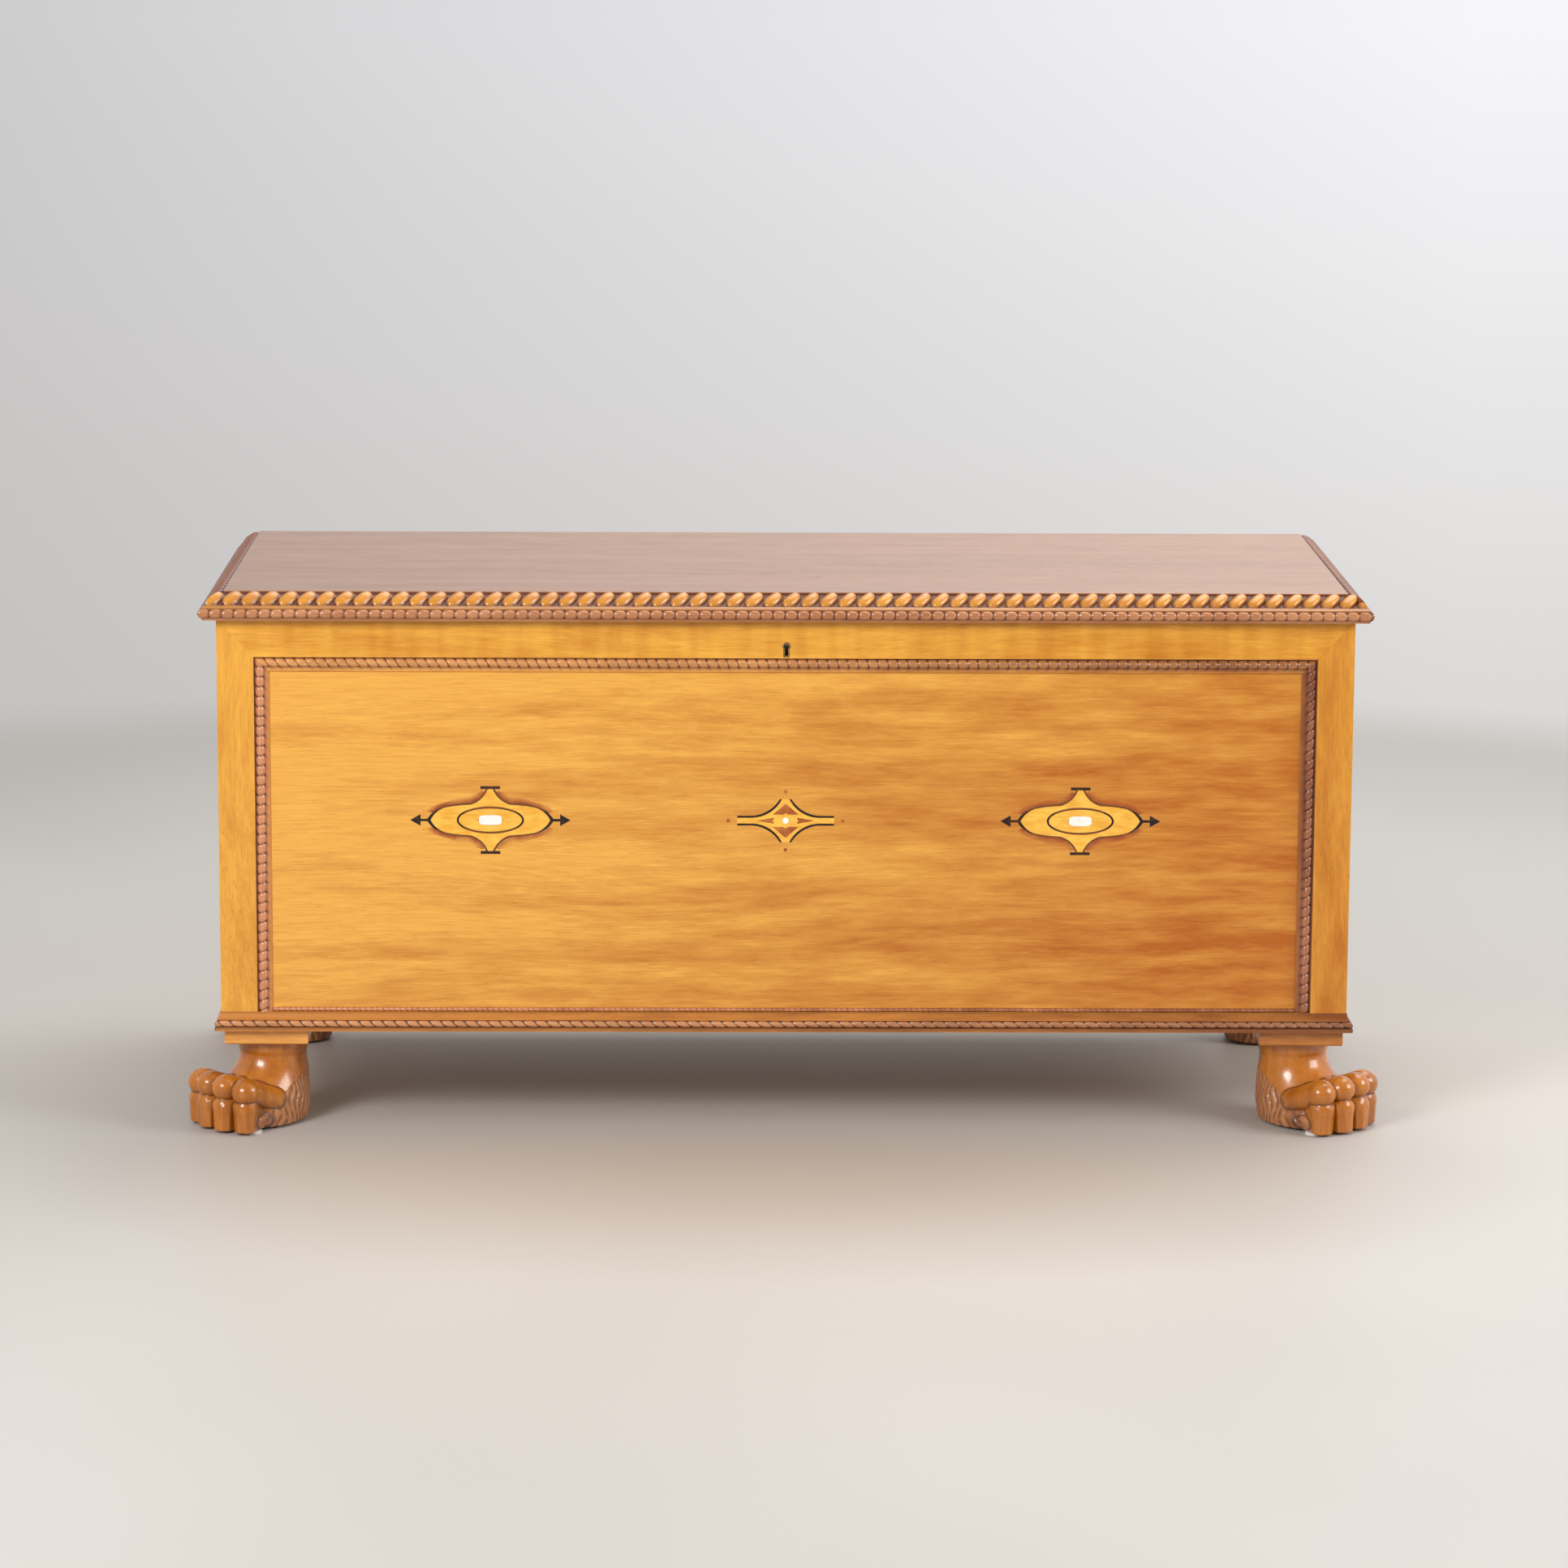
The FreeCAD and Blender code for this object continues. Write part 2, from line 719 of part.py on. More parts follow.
def hinge(centre_x):
    """The two leaves, the pin and the screws of one hinge."""
    third = hinge_length / 6
    half = hinge_length / 2
    gap = hinge_knuckle_gap / 2
    outer = [(-half, -third - gap), (third + gap, half)]
    inner = [(-third + gap, third - gap)]
    axis_point = V(centre_x, hinge_axis_y, hinge_axis_z)
    half_gap = lid_gap / 2
    lower = leaf(-half_gap - hinge_leaf_thickness, outer)
    upper = leaf(half_gap, inner)
    pin = Part.makeCylinder(hinge_pin_radius, hinge_length, V(-half, 0, 0), right)
    head = Part.makeCylinder(hinge_barrel_radius, hinge_pin_head_length,
                             V(half, 0, 0), right)
    pin = pin.fuse(head)
    lower = lower.cut(Part.makeCylinder(hinge_pin_radius, hinge_length, V(-half, 0, 0), right))
    upper = upper.cut(Part.makeCylinder(hinge_pin_radius + hinge_pin_fit, hinge_length,
                                        V(-half, 0, 0), right))
    plate_middle = -hinge_barrel_radius - hinge_barrel_clearance - hinge_leaf_width / 2
    places = [V(index * hinge_screw_spacing, plate_middle, 0) for index in (-1, 0, 1)]
    low_screws = screws_at([at - up * half_gap for at in places], V(0, 0, -1),
                           screw_head_radius, screw_shank_radius, screw_length)
    high_screws = screws_at([at + up * half_gap for at in places], up,
                            screw_head_radius, screw_shank_radius, screw_length)
    lower = lower.cut(low_screws)
    upper = upper.cut(high_screws)
    for shape in [lower, upper, pin] + low_screws + high_screws:
        shape.translate(axis_point)
    return lower, upper, pin, low_screws, high_screws


# Lock

def keyhole_outline(margin, low_y, high_y):
    """A keyhole's space, round at the top, widened all round by a margin."""
    radius = keyhole_radius + margin
    half_slot = keyhole_slot_width / 2 + margin
    slot_bottom = keyhole_bottom + keyhole_lining - margin
    slot = block(V(-half_slot, low_y, slot_bottom), V(half_slot, high_y, keyhole_centre))
    eye = Part.makeCylinder(radius, high_y - low_y, V(0, low_y, keyhole_centre), back)
    return slot.fuse(eye).removeSplitter()


def lock_case():
    """The open box of the lock, let into the inside of the top rail."""
    half = lock_width / 2
    shell = block(V(-half, lock_front, lock_bottom), V(half, lock_back, body_top))
    hollow = block(V(-half + lock_wall, lock_front + lock_wall, lock_bottom + lock_wall),
                   V(half - lock_wall, lock_back, body_top - lock_wall))
    half_tongue = bolt_tongue_width / 2 + bolt_clearance
    slot = block(V(-half_tongue, bolt_front - bolt_clearance, body_top - lock_wall),
                 V(half_tongue, lock_back, body_top))
    key_way = keyhole_outline(0, lock_front, lock_front + lock_wall)
    return shell.cut([hollow, slot, key_way])


def lock_cap():
    """The plate that closes the case from inside the chest, with the pin that the key turns on."""
    half = lock_width / 2 + lock_cap_lug
    plate = block(V(-half, lock_back, opening_top), V(half, lock_back + lock_cap_thickness, body_top))
    tail = block(V(-half + lock_cap_lug, lock_back, lock_bottom),
                 V(half - lock_cap_lug, lock_back + lock_cap_thickness, opening_top))
    pin = Part.makeCylinder(key_pin_radius, lock_depth - lock_wall,
                            V(0, lock_front + lock_wall, keyhole_centre), back)
    return fused([plate, tail, pin])


def lock_screw_points():
    """Where the cap's screws go in."""
    x = lock_width / 2 + lock_cap_lug / 2
    z_low = panel_top + lock_screw_head_radius
    z_high = body_top - lock_screw_edge
    face = lock_back + lock_cap_thickness
    return [V(side * x, face, z) for side in (-1, 1) for z in (z_low, z_high)]


def lock_bolt():
    """The bolt's plate and the tongue that rises through the top of the case."""
    plate = block(V(-bolt_width / 2, bolt_front, bolt_bottom), V(bolt_width / 2, bolt_back, bolt_top))
    half_tongue = bolt_tongue_width / 2
    tongue = block(V(-half_tongue, bolt_front, bolt_top), V(half_tongue, bolt_back, body_top))
    return plate.fuse(tongue).removeSplitter()


def strike_space():
    """The recess of the strike plate in the underside of the lid."""
    middle = (bolt_front + bolt_back) / 2
    return block(V(-strike_length / 2, middle - strike_width / 2, lid_bottom),
                 V(strike_length / 2, middle + strike_width / 2, lid_bottom + strike_thickness))


def strike_hole(depth):
    """The way that the bolt's tongue takes into the lid."""
    half_tongue = bolt_tongue_width / 2 + bolt_guide_gap
    return block(V(-half_tongue, bolt_front - bolt_guide_gap, lid_bottom),
                 V(half_tongue, bolt_back + bolt_guide_gap, lid_bottom + depth))


# Marquetry, drawn in X and Z about a medallion's middle, with its face at Y = 0

def inlay(points):
    """A thin piece with a straight-sided outline of (x, z) pairs."""
    return prism([V(x, 0, z) for x, z in points], V(0, inlay_thickness, 0))


def disc(half_x, half_z):
    """A thin oval piece about the middle."""
    oval = Part.makeCylinder(half_z, inlay_thickness, V(0, 0, 0), back)
    if half_x == half_z:
        return oval
    stretch = FreeCAD.Matrix()
    stretch.scale(half_x / half_z, 1, 1)
    return oval.transformGeometry(stretch)


def four_ways(quarter):
    """A piece of the right upper quarter, repeated in the other three."""
    flipped = quarter.mirror(V(0, 0, 0), up)
    pair = [quarter, flipped]
    return pair + [piece.mirror(V(0, 0, 0), right) for piece in pair]


def cartouche(shrink):
    """The ogee outline round a medallion, drawn in by a margin."""
    tip = V(cartouche_half_width - shrink * cartouche_tip_draw_share, 0, 0)
    flank = V(flank_half_width, 0, flank_height - shrink)
    saddle = V(ogee_half_width - shrink, 0, ogee_height - shrink)
    neck = V(neck_half_width - shrink, 0, cartouche_half_height)
    hollow = V((saddle.x + neck.x) / 2 - stringing_width, 0, (saddle.z + neck.z) / 2 - stringing_width)
    crown = (flank + saddle) / 2 + up * (stringing_width / 4)
    bow = V((tip.x + flank.x) / 2 + stringing_width, 0,
            flank_height * cartouche_bow_share - shrink * cartouche_bow_draw_share)
    quarter = [
        Part.Arc(tip, bow, flank).toShape(),
        Part.Arc(flank, crown, saddle).toShape(),
        Part.Arc(saddle, hollow, neck).toShape(),
        Part.makeLine(neck, V(0, 0, neck.z)),
        Part.makeLine(V(0, 0, neck.z), V(0, 0, 0)),
        Part.makeLine(V(0, 0, 0), tip),
    ]
    face = Part.Face(Part.Wire(quarter))
    return fused(four_ways(face.extrude(V(0, inlay_thickness, 0))))


def medallion():
    """One large medallion: dark stringing, red-brown shading, light fields and the pearl."""
    outer = cartouche(0)
    inner = cartouche(stringing_width)
    ring_outer = disc(ring_half_width, ring_half_height)
    ring_inner = disc(ring_half_width - ring_width, ring_half_height - ring_width)
    pearl = disc(pearl_half_width, pearl_half_height)
    cap = inlay([
        (-cap_half_width, cartouche_half_height),
        (cap_half_width, cartouche_half_height),
        (cap_half_width, cartouche_half_height + cap_height),
        (-cap_half_width, cartouche_half_height + cap_height),
    ])
    stem = finial_stem_width / 2
    finial = inlay([
        (cartouche_half_width - stringing_width, -stem),
        (finial_shoulder_reach - finial_half_height / 2, -stem),
        (finial_shoulder_reach - finial_half_height / 2, -finial_half_height),
        (finial_reach, 0),
        (finial_shoulder_reach - finial_half_height / 2, finial_half_height),
        (finial_shoulder_reach - finial_half_height / 2, stem),
        (cartouche_half_width - stringing_width, stem),
    ])
    shade = inlay([
        (neck_half_width, cartouche_half_height - cap_height),
        (shade_top_half_width, shade_top_height),
        (flank_half_width, shade_foot_height + flank_height / 2),
        (shade_foot_half_width, shade_foot_height),
        (shade_foot_half_width, shade_foot_height - finial_stem_width),
        (shade_heel_half_width, shade_heel_height),
        (neck_half_width, shade_heel_height),
    ])
    finials = [finial, finial.mirror(V(0, 0, 0), right)]
    caps = [cap, cap.mirror(V(0, 0, 0), up)]
    dark = outer.cut(inner).multiFuse(caps + finials).removeSplitter()
    dark = dark.cut(inner)
    shading = [piece.cut([outer] + caps + finials) for piece in four_ways(shade)]
    light = [inner.cut(ring_outer), ring_inner.cut(pearl)]
    return {
        "dark": [dark, ring_outer.cut(ring_inner)],
        "red": shading,
        "light": light,
        "pearl": [pearl],
    }


def star():
    """The small medallion: four hollow dark lines round a diamond with red-brown corners."""
    arm_start = V(star_half_width, 0, star_arm_height)
    shoulder = V(star_shoulder_half_width, 0, star_shoulder_height)
    point = V(star_point_half_width, 0, star_half_height)
    straight = V((star_half_width + star_shoulder_half_width) / 2, 0, star_arm_height)
    width = star_line_width

    def field(shift):
        """The space below the hollow line, lowered by a shift."""
        drop = V(-shift / 2, 0, -shift)
        edges = [
            Part.makeLine(V(0, 0, 0), V(arm_start.x, 0, 0)),
            Part.makeLine(V(arm_start.x, 0, 0), arm_start + up * -shift),
            Part.makeLine(arm_start + up * -shift, straight + up * -shift),
            Part.Arc(straight + up * -shift, shoulder + drop, point + V(-shift, 0, 0)).toShape(),
            Part.makeLine(point + V(-shift, 0, 0), V(0, 0, point.z)),
            Part.makeLine(V(0, 0, point.z), V(0, 0, 0)),
        ]
        return Part.Face(Part.Wire(edges)).extrude(V(0, inlay_thickness, 0))

    outer = field(0)
    lines = four_ways(outer.cut(field(width)))
    inside = fused(four_ways(field(width)))
    heart = inlay([
        (-star_heart_half_width, 0),
        (0, -star_heart_half_height),
        (star_heart_half_width, 0),
        (0, star_heart_half_height),
    ])
    seed = disc(star_seed_radius, star_seed_radius)
    tall = inlay([
        (-star_corner_half_width, star_corner_base_height),
        (star_corner_half_width, star_corner_base_height),
        (0, star_corner_top_height),
    ])
    side_height = star_arm_height - star_border_width
    side_base = star_heart_half_width - star_border_width
    side = inlay([
        (side_base, -side_height),
        (star_side_half_width, 0),
        (side_base, side_height),
    ])
    inset = fused(four_ways(field(width + star_border_width)))
    corners = [tall, tall.mirror(V(0, 0, 0), up), side, side.mirror(V(0, 0, 0), right)]
    corners = [piece.common(inset).cut(heart) for piece in corners]
    dots = []
    for x, z in ((star_dot_reach, 0), (-star_dot_reach, 0), (0, star_dot_rise), (0, -star_dot_rise)):
        dot = disc(star_dot_radius, star_dot_radius)
        dot.translate(V(x, 0, z))
        dots.append(dot)
    return {
        "dark": lines,
        "red": corners + dots,
        "light": [inside.cut(corners + [heart]), heart.cut(seed)],
        "pearl": [seed],
    }


def marquetry():
    """All the let-in pieces by wood, where they lie in the front panel."""
    woods = {"dark": [], "red": [], "light": [], "pearl": []}
    designs = ((-medallion_spacing, medallion()), (0, star()), (medallion_spacing, medallion()))
    for x, design in designs:
        for wood, pieces in design.items():
            for piece in pieces:
                piece.translate(V(x, front_panel_face, medallion_height))
                woods[wood].append(piece)
    return woods


# Assembly

def build_carcase(made):
    """The frame, panels and boards, cut to one another."""
    front_rail, left_rail, right_rail = top_rails()
    low_front_rail, low_left_rail, low_right_rail = bottom_rails()
    front_panel, left_panel, right_panel = panels()
    lower_back, upper_back = back_boards()
    posts = corner_posts()
    waste = [front_rail, left_rail, right_rail, front_panel, left_panel, right_panel,
             lower_back, upper_back]
    for name, post in posts.items():
        made[name] = post.cut(waste)
    made["front_top_rail"] = front_rail.cut(front_panel)
    made["left_top_rail"] = left_rail.cut([left_panel, lower_back, upper_back])
    made["right_top_rail"] = right_rail.cut([right_panel, lower_back, upper_back])
    made["front_bottom_rail"] = low_front_rail.cut(front_panel)
    made["left_bottom_rail"] = low_left_rail.cut(left_panel)
    made["right_bottom_rail"] = low_right_rail.cut(right_panel)
    made["front_panel"] = front_panel
    made["left_panel"] = left_panel
    made["right_panel"] = right_panel
    made["back_board_lower"] = lower_back
    made["back_board_upper"] = upper_back
    made["bottom_board"] = bottom_board(posts.values())
    made.update(bead_frames())
    made.update(base_mouldings())


def build_feet(made):
    """A block, a paw and felt glides at each corner."""
    one_block = plinth_block()
    one_paw = foot_place(paw())
    glides = [foot_place(pad) for pad in foot_glides()]
    pads = []
    corners = {
        "front_left": (-1, -1),
        "front_right": (1, -1),
        "back_left": (-1, 1),
        "back_right": (1, 1),
    }
    for name, (sign_x, sign_y) in corners.items():
        made[name + "_plinth_block"] = in_plan(one_block, sign_x, sign_y)
        made[name + "_paw"] = in_plan(one_paw, sign_x, sign_y)
        pads.extend(in_plan(pad, sign_x, sign_y) for pad in glides)
    made["foot_glides"] = Part.makeCompound(pads)


def build_lid(made):
    """The lid's board and its mouldings."""
    made["lid_panel"] = lid_panel()
    made.update(lid_mouldings())


def build_hinges(made):
    """Two butt hinges, let into the back board and the lid."""
    lowers, uppers, pins, low_screws, high_screws = [], [], [], [], []
    for side in (-1, 1):
        lower, upper, pin, low, high = hinge(side * hinge_spacing / 2)
        lowers.append(lower)
        uppers.append(upper)
        pins.append(pin)
        low_screws.extend(low)
        high_screws.extend(high)
    made["back_board_upper"] = made["back_board_upper"].cut(lowers + low_screws)
    made["lid_panel"] = made["lid_panel"].cut(uppers + high_screws)
    made["hinge_lower_leaves"] = Part.makeCompound(lowers)
    made["hinge_upper_leaves"] = Part.makeCompound(uppers)
    made["hinge_pins"] = Part.makeCompound(pins)
    made["hinge_lower_screws"] = Part.makeCompound(low_screws)
    made["hinge_upper_screws"] = Part.makeCompound(high_screws)


def build_lock(made):
    """The chest lock, its lined keyhole and the strike plate."""
    mortise = block(V(-lock_width / 2, lock_front, lock_bottom),
                    V(lock_width / 2, lock_back, body_top))
    hole = keyhole_outline(keyhole_lining, -half_depth, lock_front)
    screws = screws_at(lock_screw_points(), front, lock_screw_head_radius,
                       lock_screw_shank_radius, lock_screw_length)
    made["front_top_rail"] = made["front_top_rail"].cut([mortise, hole] + screws)
    made["front_panel"] = made["front_panel"].cut([mortise, hole])
    made["lock_case"] = lock_case()
    made["lock_cap"] = lock_cap().cut(screws)
    made["lock_screws"] = Part.makeCompound(screws)
    made["lock_bolt"] = lock_bolt()
    made["keyhole_lining"] = hole.cut(keyhole_outline(0, -half_depth, lock_front))
    space = strike_space()
    middle = (bolt_front + bolt_back) / 2
    points = [V(side * strike_screw_spacing / 2, middle, lid_bottom) for side in (-1, 1)]
    strike_screws = screws_at(points, up, lock_screw_head_radius, lock_screw_shank_radius,
                              lock_screw_length)
    made["strike_plate"] = space.cut([strike_hole(strike_thickness)] + strike_screws)
    made["strike_screws"] = Part.makeCompound(strike_screws)
    made["lid_panel"] = made["lid_panel"].cut([space, strike_hole(strike_pocket_depth)] + strike_screws)


def build_marquetry(made):
    """The inlays, and the panel cut away to hold them."""
    woods = marquetry()
    names = {
        "dark": "inlay_dark_stringing",
        "red": "inlay_red_shading",
        "light": "inlay_light_fields",
        "pearl": "inlay_pearl",
    }
    for wood, pieces in woods.items():
        made[names[wood]] = Part.makeCompound(pieces)
        made["front_panel"] = made["front_panel"].cut(pieces)


def build():
    """Every sub-part by name."""
    made = {}
    build_carcase(made)
    build_feet(made)
    build_lid(made)
    build_hinges(made)
    build_lock(made)
    build_marquetry(made)
    return made


os.makedirs("parts", exist_ok=True)
for part_name, part_shape in build().items():
    save(part_name, part_shape)
    print(part_name, len(part_shape.Solids), part_shape.isValid(), round(part_shape.Volume))
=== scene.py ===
import math

import bmesh
import bpy
import numpy as np
import openvdb
from mathutils import Matrix, Vector
from mathutils.kdtree import KDTree


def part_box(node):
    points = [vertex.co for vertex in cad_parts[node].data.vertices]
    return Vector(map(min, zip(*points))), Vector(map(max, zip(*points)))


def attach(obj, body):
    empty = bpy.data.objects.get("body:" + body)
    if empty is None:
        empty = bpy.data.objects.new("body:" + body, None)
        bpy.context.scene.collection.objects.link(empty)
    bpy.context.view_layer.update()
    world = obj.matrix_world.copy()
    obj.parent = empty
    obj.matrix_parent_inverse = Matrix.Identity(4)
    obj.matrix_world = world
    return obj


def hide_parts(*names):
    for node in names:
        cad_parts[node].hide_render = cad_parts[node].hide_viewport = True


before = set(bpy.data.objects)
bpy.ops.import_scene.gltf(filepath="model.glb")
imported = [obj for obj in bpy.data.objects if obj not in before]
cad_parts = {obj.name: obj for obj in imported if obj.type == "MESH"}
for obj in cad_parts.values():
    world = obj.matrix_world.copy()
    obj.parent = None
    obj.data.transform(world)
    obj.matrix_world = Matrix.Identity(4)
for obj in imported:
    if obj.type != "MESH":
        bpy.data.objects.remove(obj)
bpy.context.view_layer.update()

# A low oak chest: golden oak frame and panel, rope-carved lid edge, beaded strips, marquetry and
# lion paws. Lengths are in metres.

RIGHT = Vector((1, 0, 0))
BACK = Vector((0, 1, 0))
UP = Vector((0, 0, 1))

# The camera that took the picture
CAMERA_PLACE = Vector((-0.0908, -6.1709, 1.4695))
CAMERA_YAW = 0.0150
CAMERA_PITCH = 0.1796
CAMERA_ROLL = 0.0050
CAMERA_LENS = 124.07
CAMERA_SENSOR = 36.0

# How finely carved mouldings are cut along their length, how near points are to be one, and the
# angles from which faces are flat, edges are sharp, and edges of eased boards are sharp
CARVING_STEP = 0.0010
WELD_DISTANCE = CARVING_STEP / 100
FLAT_ANGLE = math.radians(1)
EDGE_ANGLE = math.radians(38)
BOARD_EDGE_ANGLE = math.radians(5)

# How far the edges of plain boards are eased, and how dark the joints between them are
BOARD_EASE = 0.0006
JOINT_SHADE = 0.9

# Carved beads: how full they are, and how dark the gaps, crests and feet, in stain and painted
# shade
BEAD_FULLNESS = 2.6
BEAD_GAP_SHADE = 1.1
BEAD_CREST_LIGHT = 1.5
BEAD_FOOT_SHADE = 0.7
BEAD_FOOT_POWER = 6

# Lid moulding: lip, bead row, and the slope that carries the rope
LID_UNDER_INSET = 0.005
LID_LIP_LOW = 0.002
LID_LIP_HIGH = 0.014
LID_BEAD_HEIGHT = 0.0076
LID_BEAD_HALF_HEIGHT = 0.0050
LID_BEAD_RISE = 0.0040
LID_BEAD_NECK_SHARE = 0.45
LID_BEAD_PITCH = 0.0135
LID_BEAD_FULLNESS = 2.2
LID_BEAD_PARTS = 12
# The neck under the beads is darkened with stain and painted shade
LID_NECK_SHADE = 0.3
ROPE_PITCH = 0.0206
ROPE_LEAN = math.radians(38)
ROPE_HALF_WIDTH = 0.0074
ROPE_HALF_LENGTH = 0.0136
ROPE_RISE = 0.0040
ROPE_SINK = 0.0022
ROPE_FADE = 0.0020
ROPE_BAND = 0.0235
ROPE_MIDDLE_SHARE = 0.43
ROPE_LONG_FULLNESS = 2.6
ROPE_WIDE_FULLNESS = 2.0
# How dark the rope's sunk ground is, with stain and painted shade, less so below the band
ROPE_SHADE_DEPTH = 0.7
ROPE_OUTSIDE_SHADE = 0.4
ROPE_PARTS = 30
BACK_CORNER_RADIUS = 0.012

# Base moulding, from its lower edge up
BASE_LIP_HEIGHT = 0.0042
BASE_LEDGE_REACH = 0.0032
BASE_LEDGE_HEIGHT = 0.0120
BASE_COVE_HEIGHT = 0.0126
BASE_COVE_REACH = 0.0046
BASE_COVE_SAG = 0.0014
BASE_COVE_STEPS = 6
BASE_TOP_REACH = 0.0008
BASE_ROPE_CREST = 0.0038
BASE_ROPE_NECK_SHARE = 0.5
BASE_ROPE_PITCH = 0.0131
BASE_ROPE_LEAN = 0.0030
BASE_ROPE_PARTS = 10
# How dark the flats beside the rope row are, with stain and painted shade
BASE_HOLLOW_SHADE = 0.5

# Beaded strips round the panels
STRIP_THICKNESS = 0.0018
STRIP_CREST = 0.0047
STRIP_NECK_SHARE = 0.5
STRIP_INSET = 0.0066
STRIP_PITCH = 0.0111
STRIP_LEAN = 0.0014
STRIP_EASE = 0.0012
STRIP_SHADOW_WIDTH = 0.0018
STRIP_SHADOW_SHADE = 0.8
STRIP_FULLNESS = 3.0
STRIP_PARTS = 12
LOW_STRIP_CREST = 0.0020
LOW_STRIP_PITCH = 0.0065
LOW_STRIP_LEAN = 0.0006
LOW_STRIP_PARTS = 8

# Marquetry: middles of the medallions, and from where to where their dark line turns black
# beside and above or below its middle, at the ends, at the caps and at the ends of the ring
MEDALLION_SPACING = 0.3290
MEDALLION_HEIGHT = 0.3525
INK_ENDS = (0.056, 0.068)
INK_CAPS = (0.034, 0.037)
INK_RING_BESIDE = (0.022, 0.032)
INK_RING_ABOVE = (0.014, 0.009)
INK_WEAR = 0.25

# How far the scorch spreads from the dark line, how finely its ground is cut up, the small star's
# reach, and the pearl plates with their rings as (scale, share of the rise)
SCORCH_FULL = 0.0014
SCORCH_REACH = 0.0072
REFINE_ROUNDS = 5
SCORCH_GRID = 0.0013
STAR_REACH = 0.12
PEARL_HALF_WIDTH = 0.0128
PEARL_HALF_HEIGHT = 0.0056
PEARL_SQUARENESS = 3.6
PEARL_RISE = 0.0003
PEARL_RINGS = ((1.0, 0.0), (1.0, 0.5), (0.97, 0.85), (0.90, 1.0))
PEARL_SPOKES = 64
SEED_RADIUS = 0.0034
SEED_SQUARENESS = 2.0

# Lion paw, about the middle of the block above it, toes towards +X
PAW_VOXEL = 0.0009
PAW_TURN = math.radians(45)
PAW_LOW = (-0.052, -0.066)
PAW_HIGH = (0.102, 0.066)
PAW_BOTTOM = 0.0030
PAW_TOP = 0.0959
VOXEL_MARGIN = 4
ANKLE_BACK = 0.005
ANKLE_HEIGHTS = (0.0, 0.003, 0.012, 0.027, 0.042, 0.058, 0.068, 0.074, 0.0775, 0.0795, 0.084, 0.096)
ANKLE_RADII = (0.0360, 0.0372, 0.0400, 0.0418, 0.0414, 0.0398, 0.0386, 0.0380, 0.0376, 0.0378,
               0.0392, 0.0396)
ANKLE_SLOPE_SHARE = 0.95
INSTEP_PLACE = (0.024, 0.0, 0.016)
INSTEP_RADIUS = 0.0470
INSTEP_BLEND = 0.022
TOE_COUNT = 4
TOE_SPREAD = math.radians(58)
RIDGE_REACH = 0.044
RIDGE_DROP = 0.0070
RIDGE_RADIUS = 0.0128
KNUCKLE_REACH = 0.0772
INNER_KNUCKLE_HEIGHT = 0.0505
OUTER_KNUCKLE_HEIGHT = 0.0475
KNUCKLE_HALF = (0.0150, 0.0143, 0.0130)
KNUCKLE_BLEND = 0.007
TIP_BALL_REACH = 0.0792
TIP_BALL_HEIGHT = 0.0300
TIP_BALL_RADIUS = 0.0134
TIP_FRONT = 0.0922
TIP_FOOT_TUCK = 0.0012
TIP_HALF_WIDTH = 0.0131
TIP_TAPER = 0.05
TIP_TOP = 0.0380
TIP_TOP_SLOPE = 0.45
TIP_BACK = 0.058
TIP_ROUND = 0.0040
TIP_FACE_HALF_WIDTH = 0.0055
TIP_CHAMFER = math.radians(46)
TIP_BLEND = 0.003
LOBE_BACK_PLACE = (0.0265, 0.0368, 0.0335)
LOBE_RADIUS = 0.0134
PAD_BACK_PLACE = (0.0190, 0.0330, 0.0120)
PAD_FRONT_REACH = 0.0740
PAD_FRONT_HEIGHT = 0.0130
PAD_RADIUS = 0.0115
PART_BLEND = 0.0012
# Grooves between the parts: their width, and how dark they are with stain and painted shade
GROOVE_WIDTH = 0.0022
GROOVE_SHADE = 0.9

# The heel's locks: their depth, shade and front edge, the strands round the ankle with the wave
# that they follow, and the waving cuts across them
HAIR_DEPTH = 0.0012
# How dark the locks' cuts are, with stain and painted shade
HAIR_SHADE = 0.55
HAIR_EDGE_HEIGHTS = (0.0, 0.020, 0.032, 0.045, 0.060, 0.082)
HAIR_EDGE_PLACES = (0.046, 0.043, 0.028, 0.008, -0.022, -0.048)
HAIR_FADE = 0.003
STRAND_COUNT = 38
STRAND_WAVE = 2.2
STRAND_WAVE_PER_RISE = 170
STRAND_WAVE_PER_TURN = 5.0
STRAND_SHARE = 0.45
CUT_PER_RISE = 410
CUT_WAVE = 2.6
CUT_WAVE_PER_TURN = 13.0
CUT_WAVE_PER_RISE = 60
CUT_SHARE = 0.35
HAIR_MIDDLE = 0.55
HAIR_SHARPNESS = 1.6

# Softboxes: name, place, aim, width, height and power
SOFTBOXES = (
    ("left_softbox", (-2.6, -3.6, 2.5), (-0.2, 0, 0.3), 1.6, 1.4, 140),
    ("right_softbox", (3.4, -1.5, 1.9), (0.6, 0, 0.0), 1.8, 1.6, 84),
    ("top_softbox", (0.9, 0.9, 3.2), (0.7, 0.4, 0), 2.6, 2.2, 62),
)

# Background: strength of its light, and where it changes upwards, sideways and ahead
SOFT_STRENGTH = 0.52
BACKGROUND_RISE = (-0.16, -0.04)
BACKGROUND_SIDES = (-0.14, 0.14)
BACKGROUND_AHEAD = (-0.5, 0.1)

# Floor: a disc that fades out at its rim, and the oval of painted shadow before the chest
FLOOR_RADIUS = 2.95
FLOOR_FADE = 0.55
FLOOR_SPOKES = 96
SHADOW_OVAL_SCALE = (1.3, 2.4, 1.0)
SHADOW_OVAL_SHIFT = (0.0, 1.1, 0.0)
SHADOW_OVAL_RIM = 1.1
SHADOW_OVAL_CORE = 0.2
SHADOW_OVAL_SHARE = 0.8


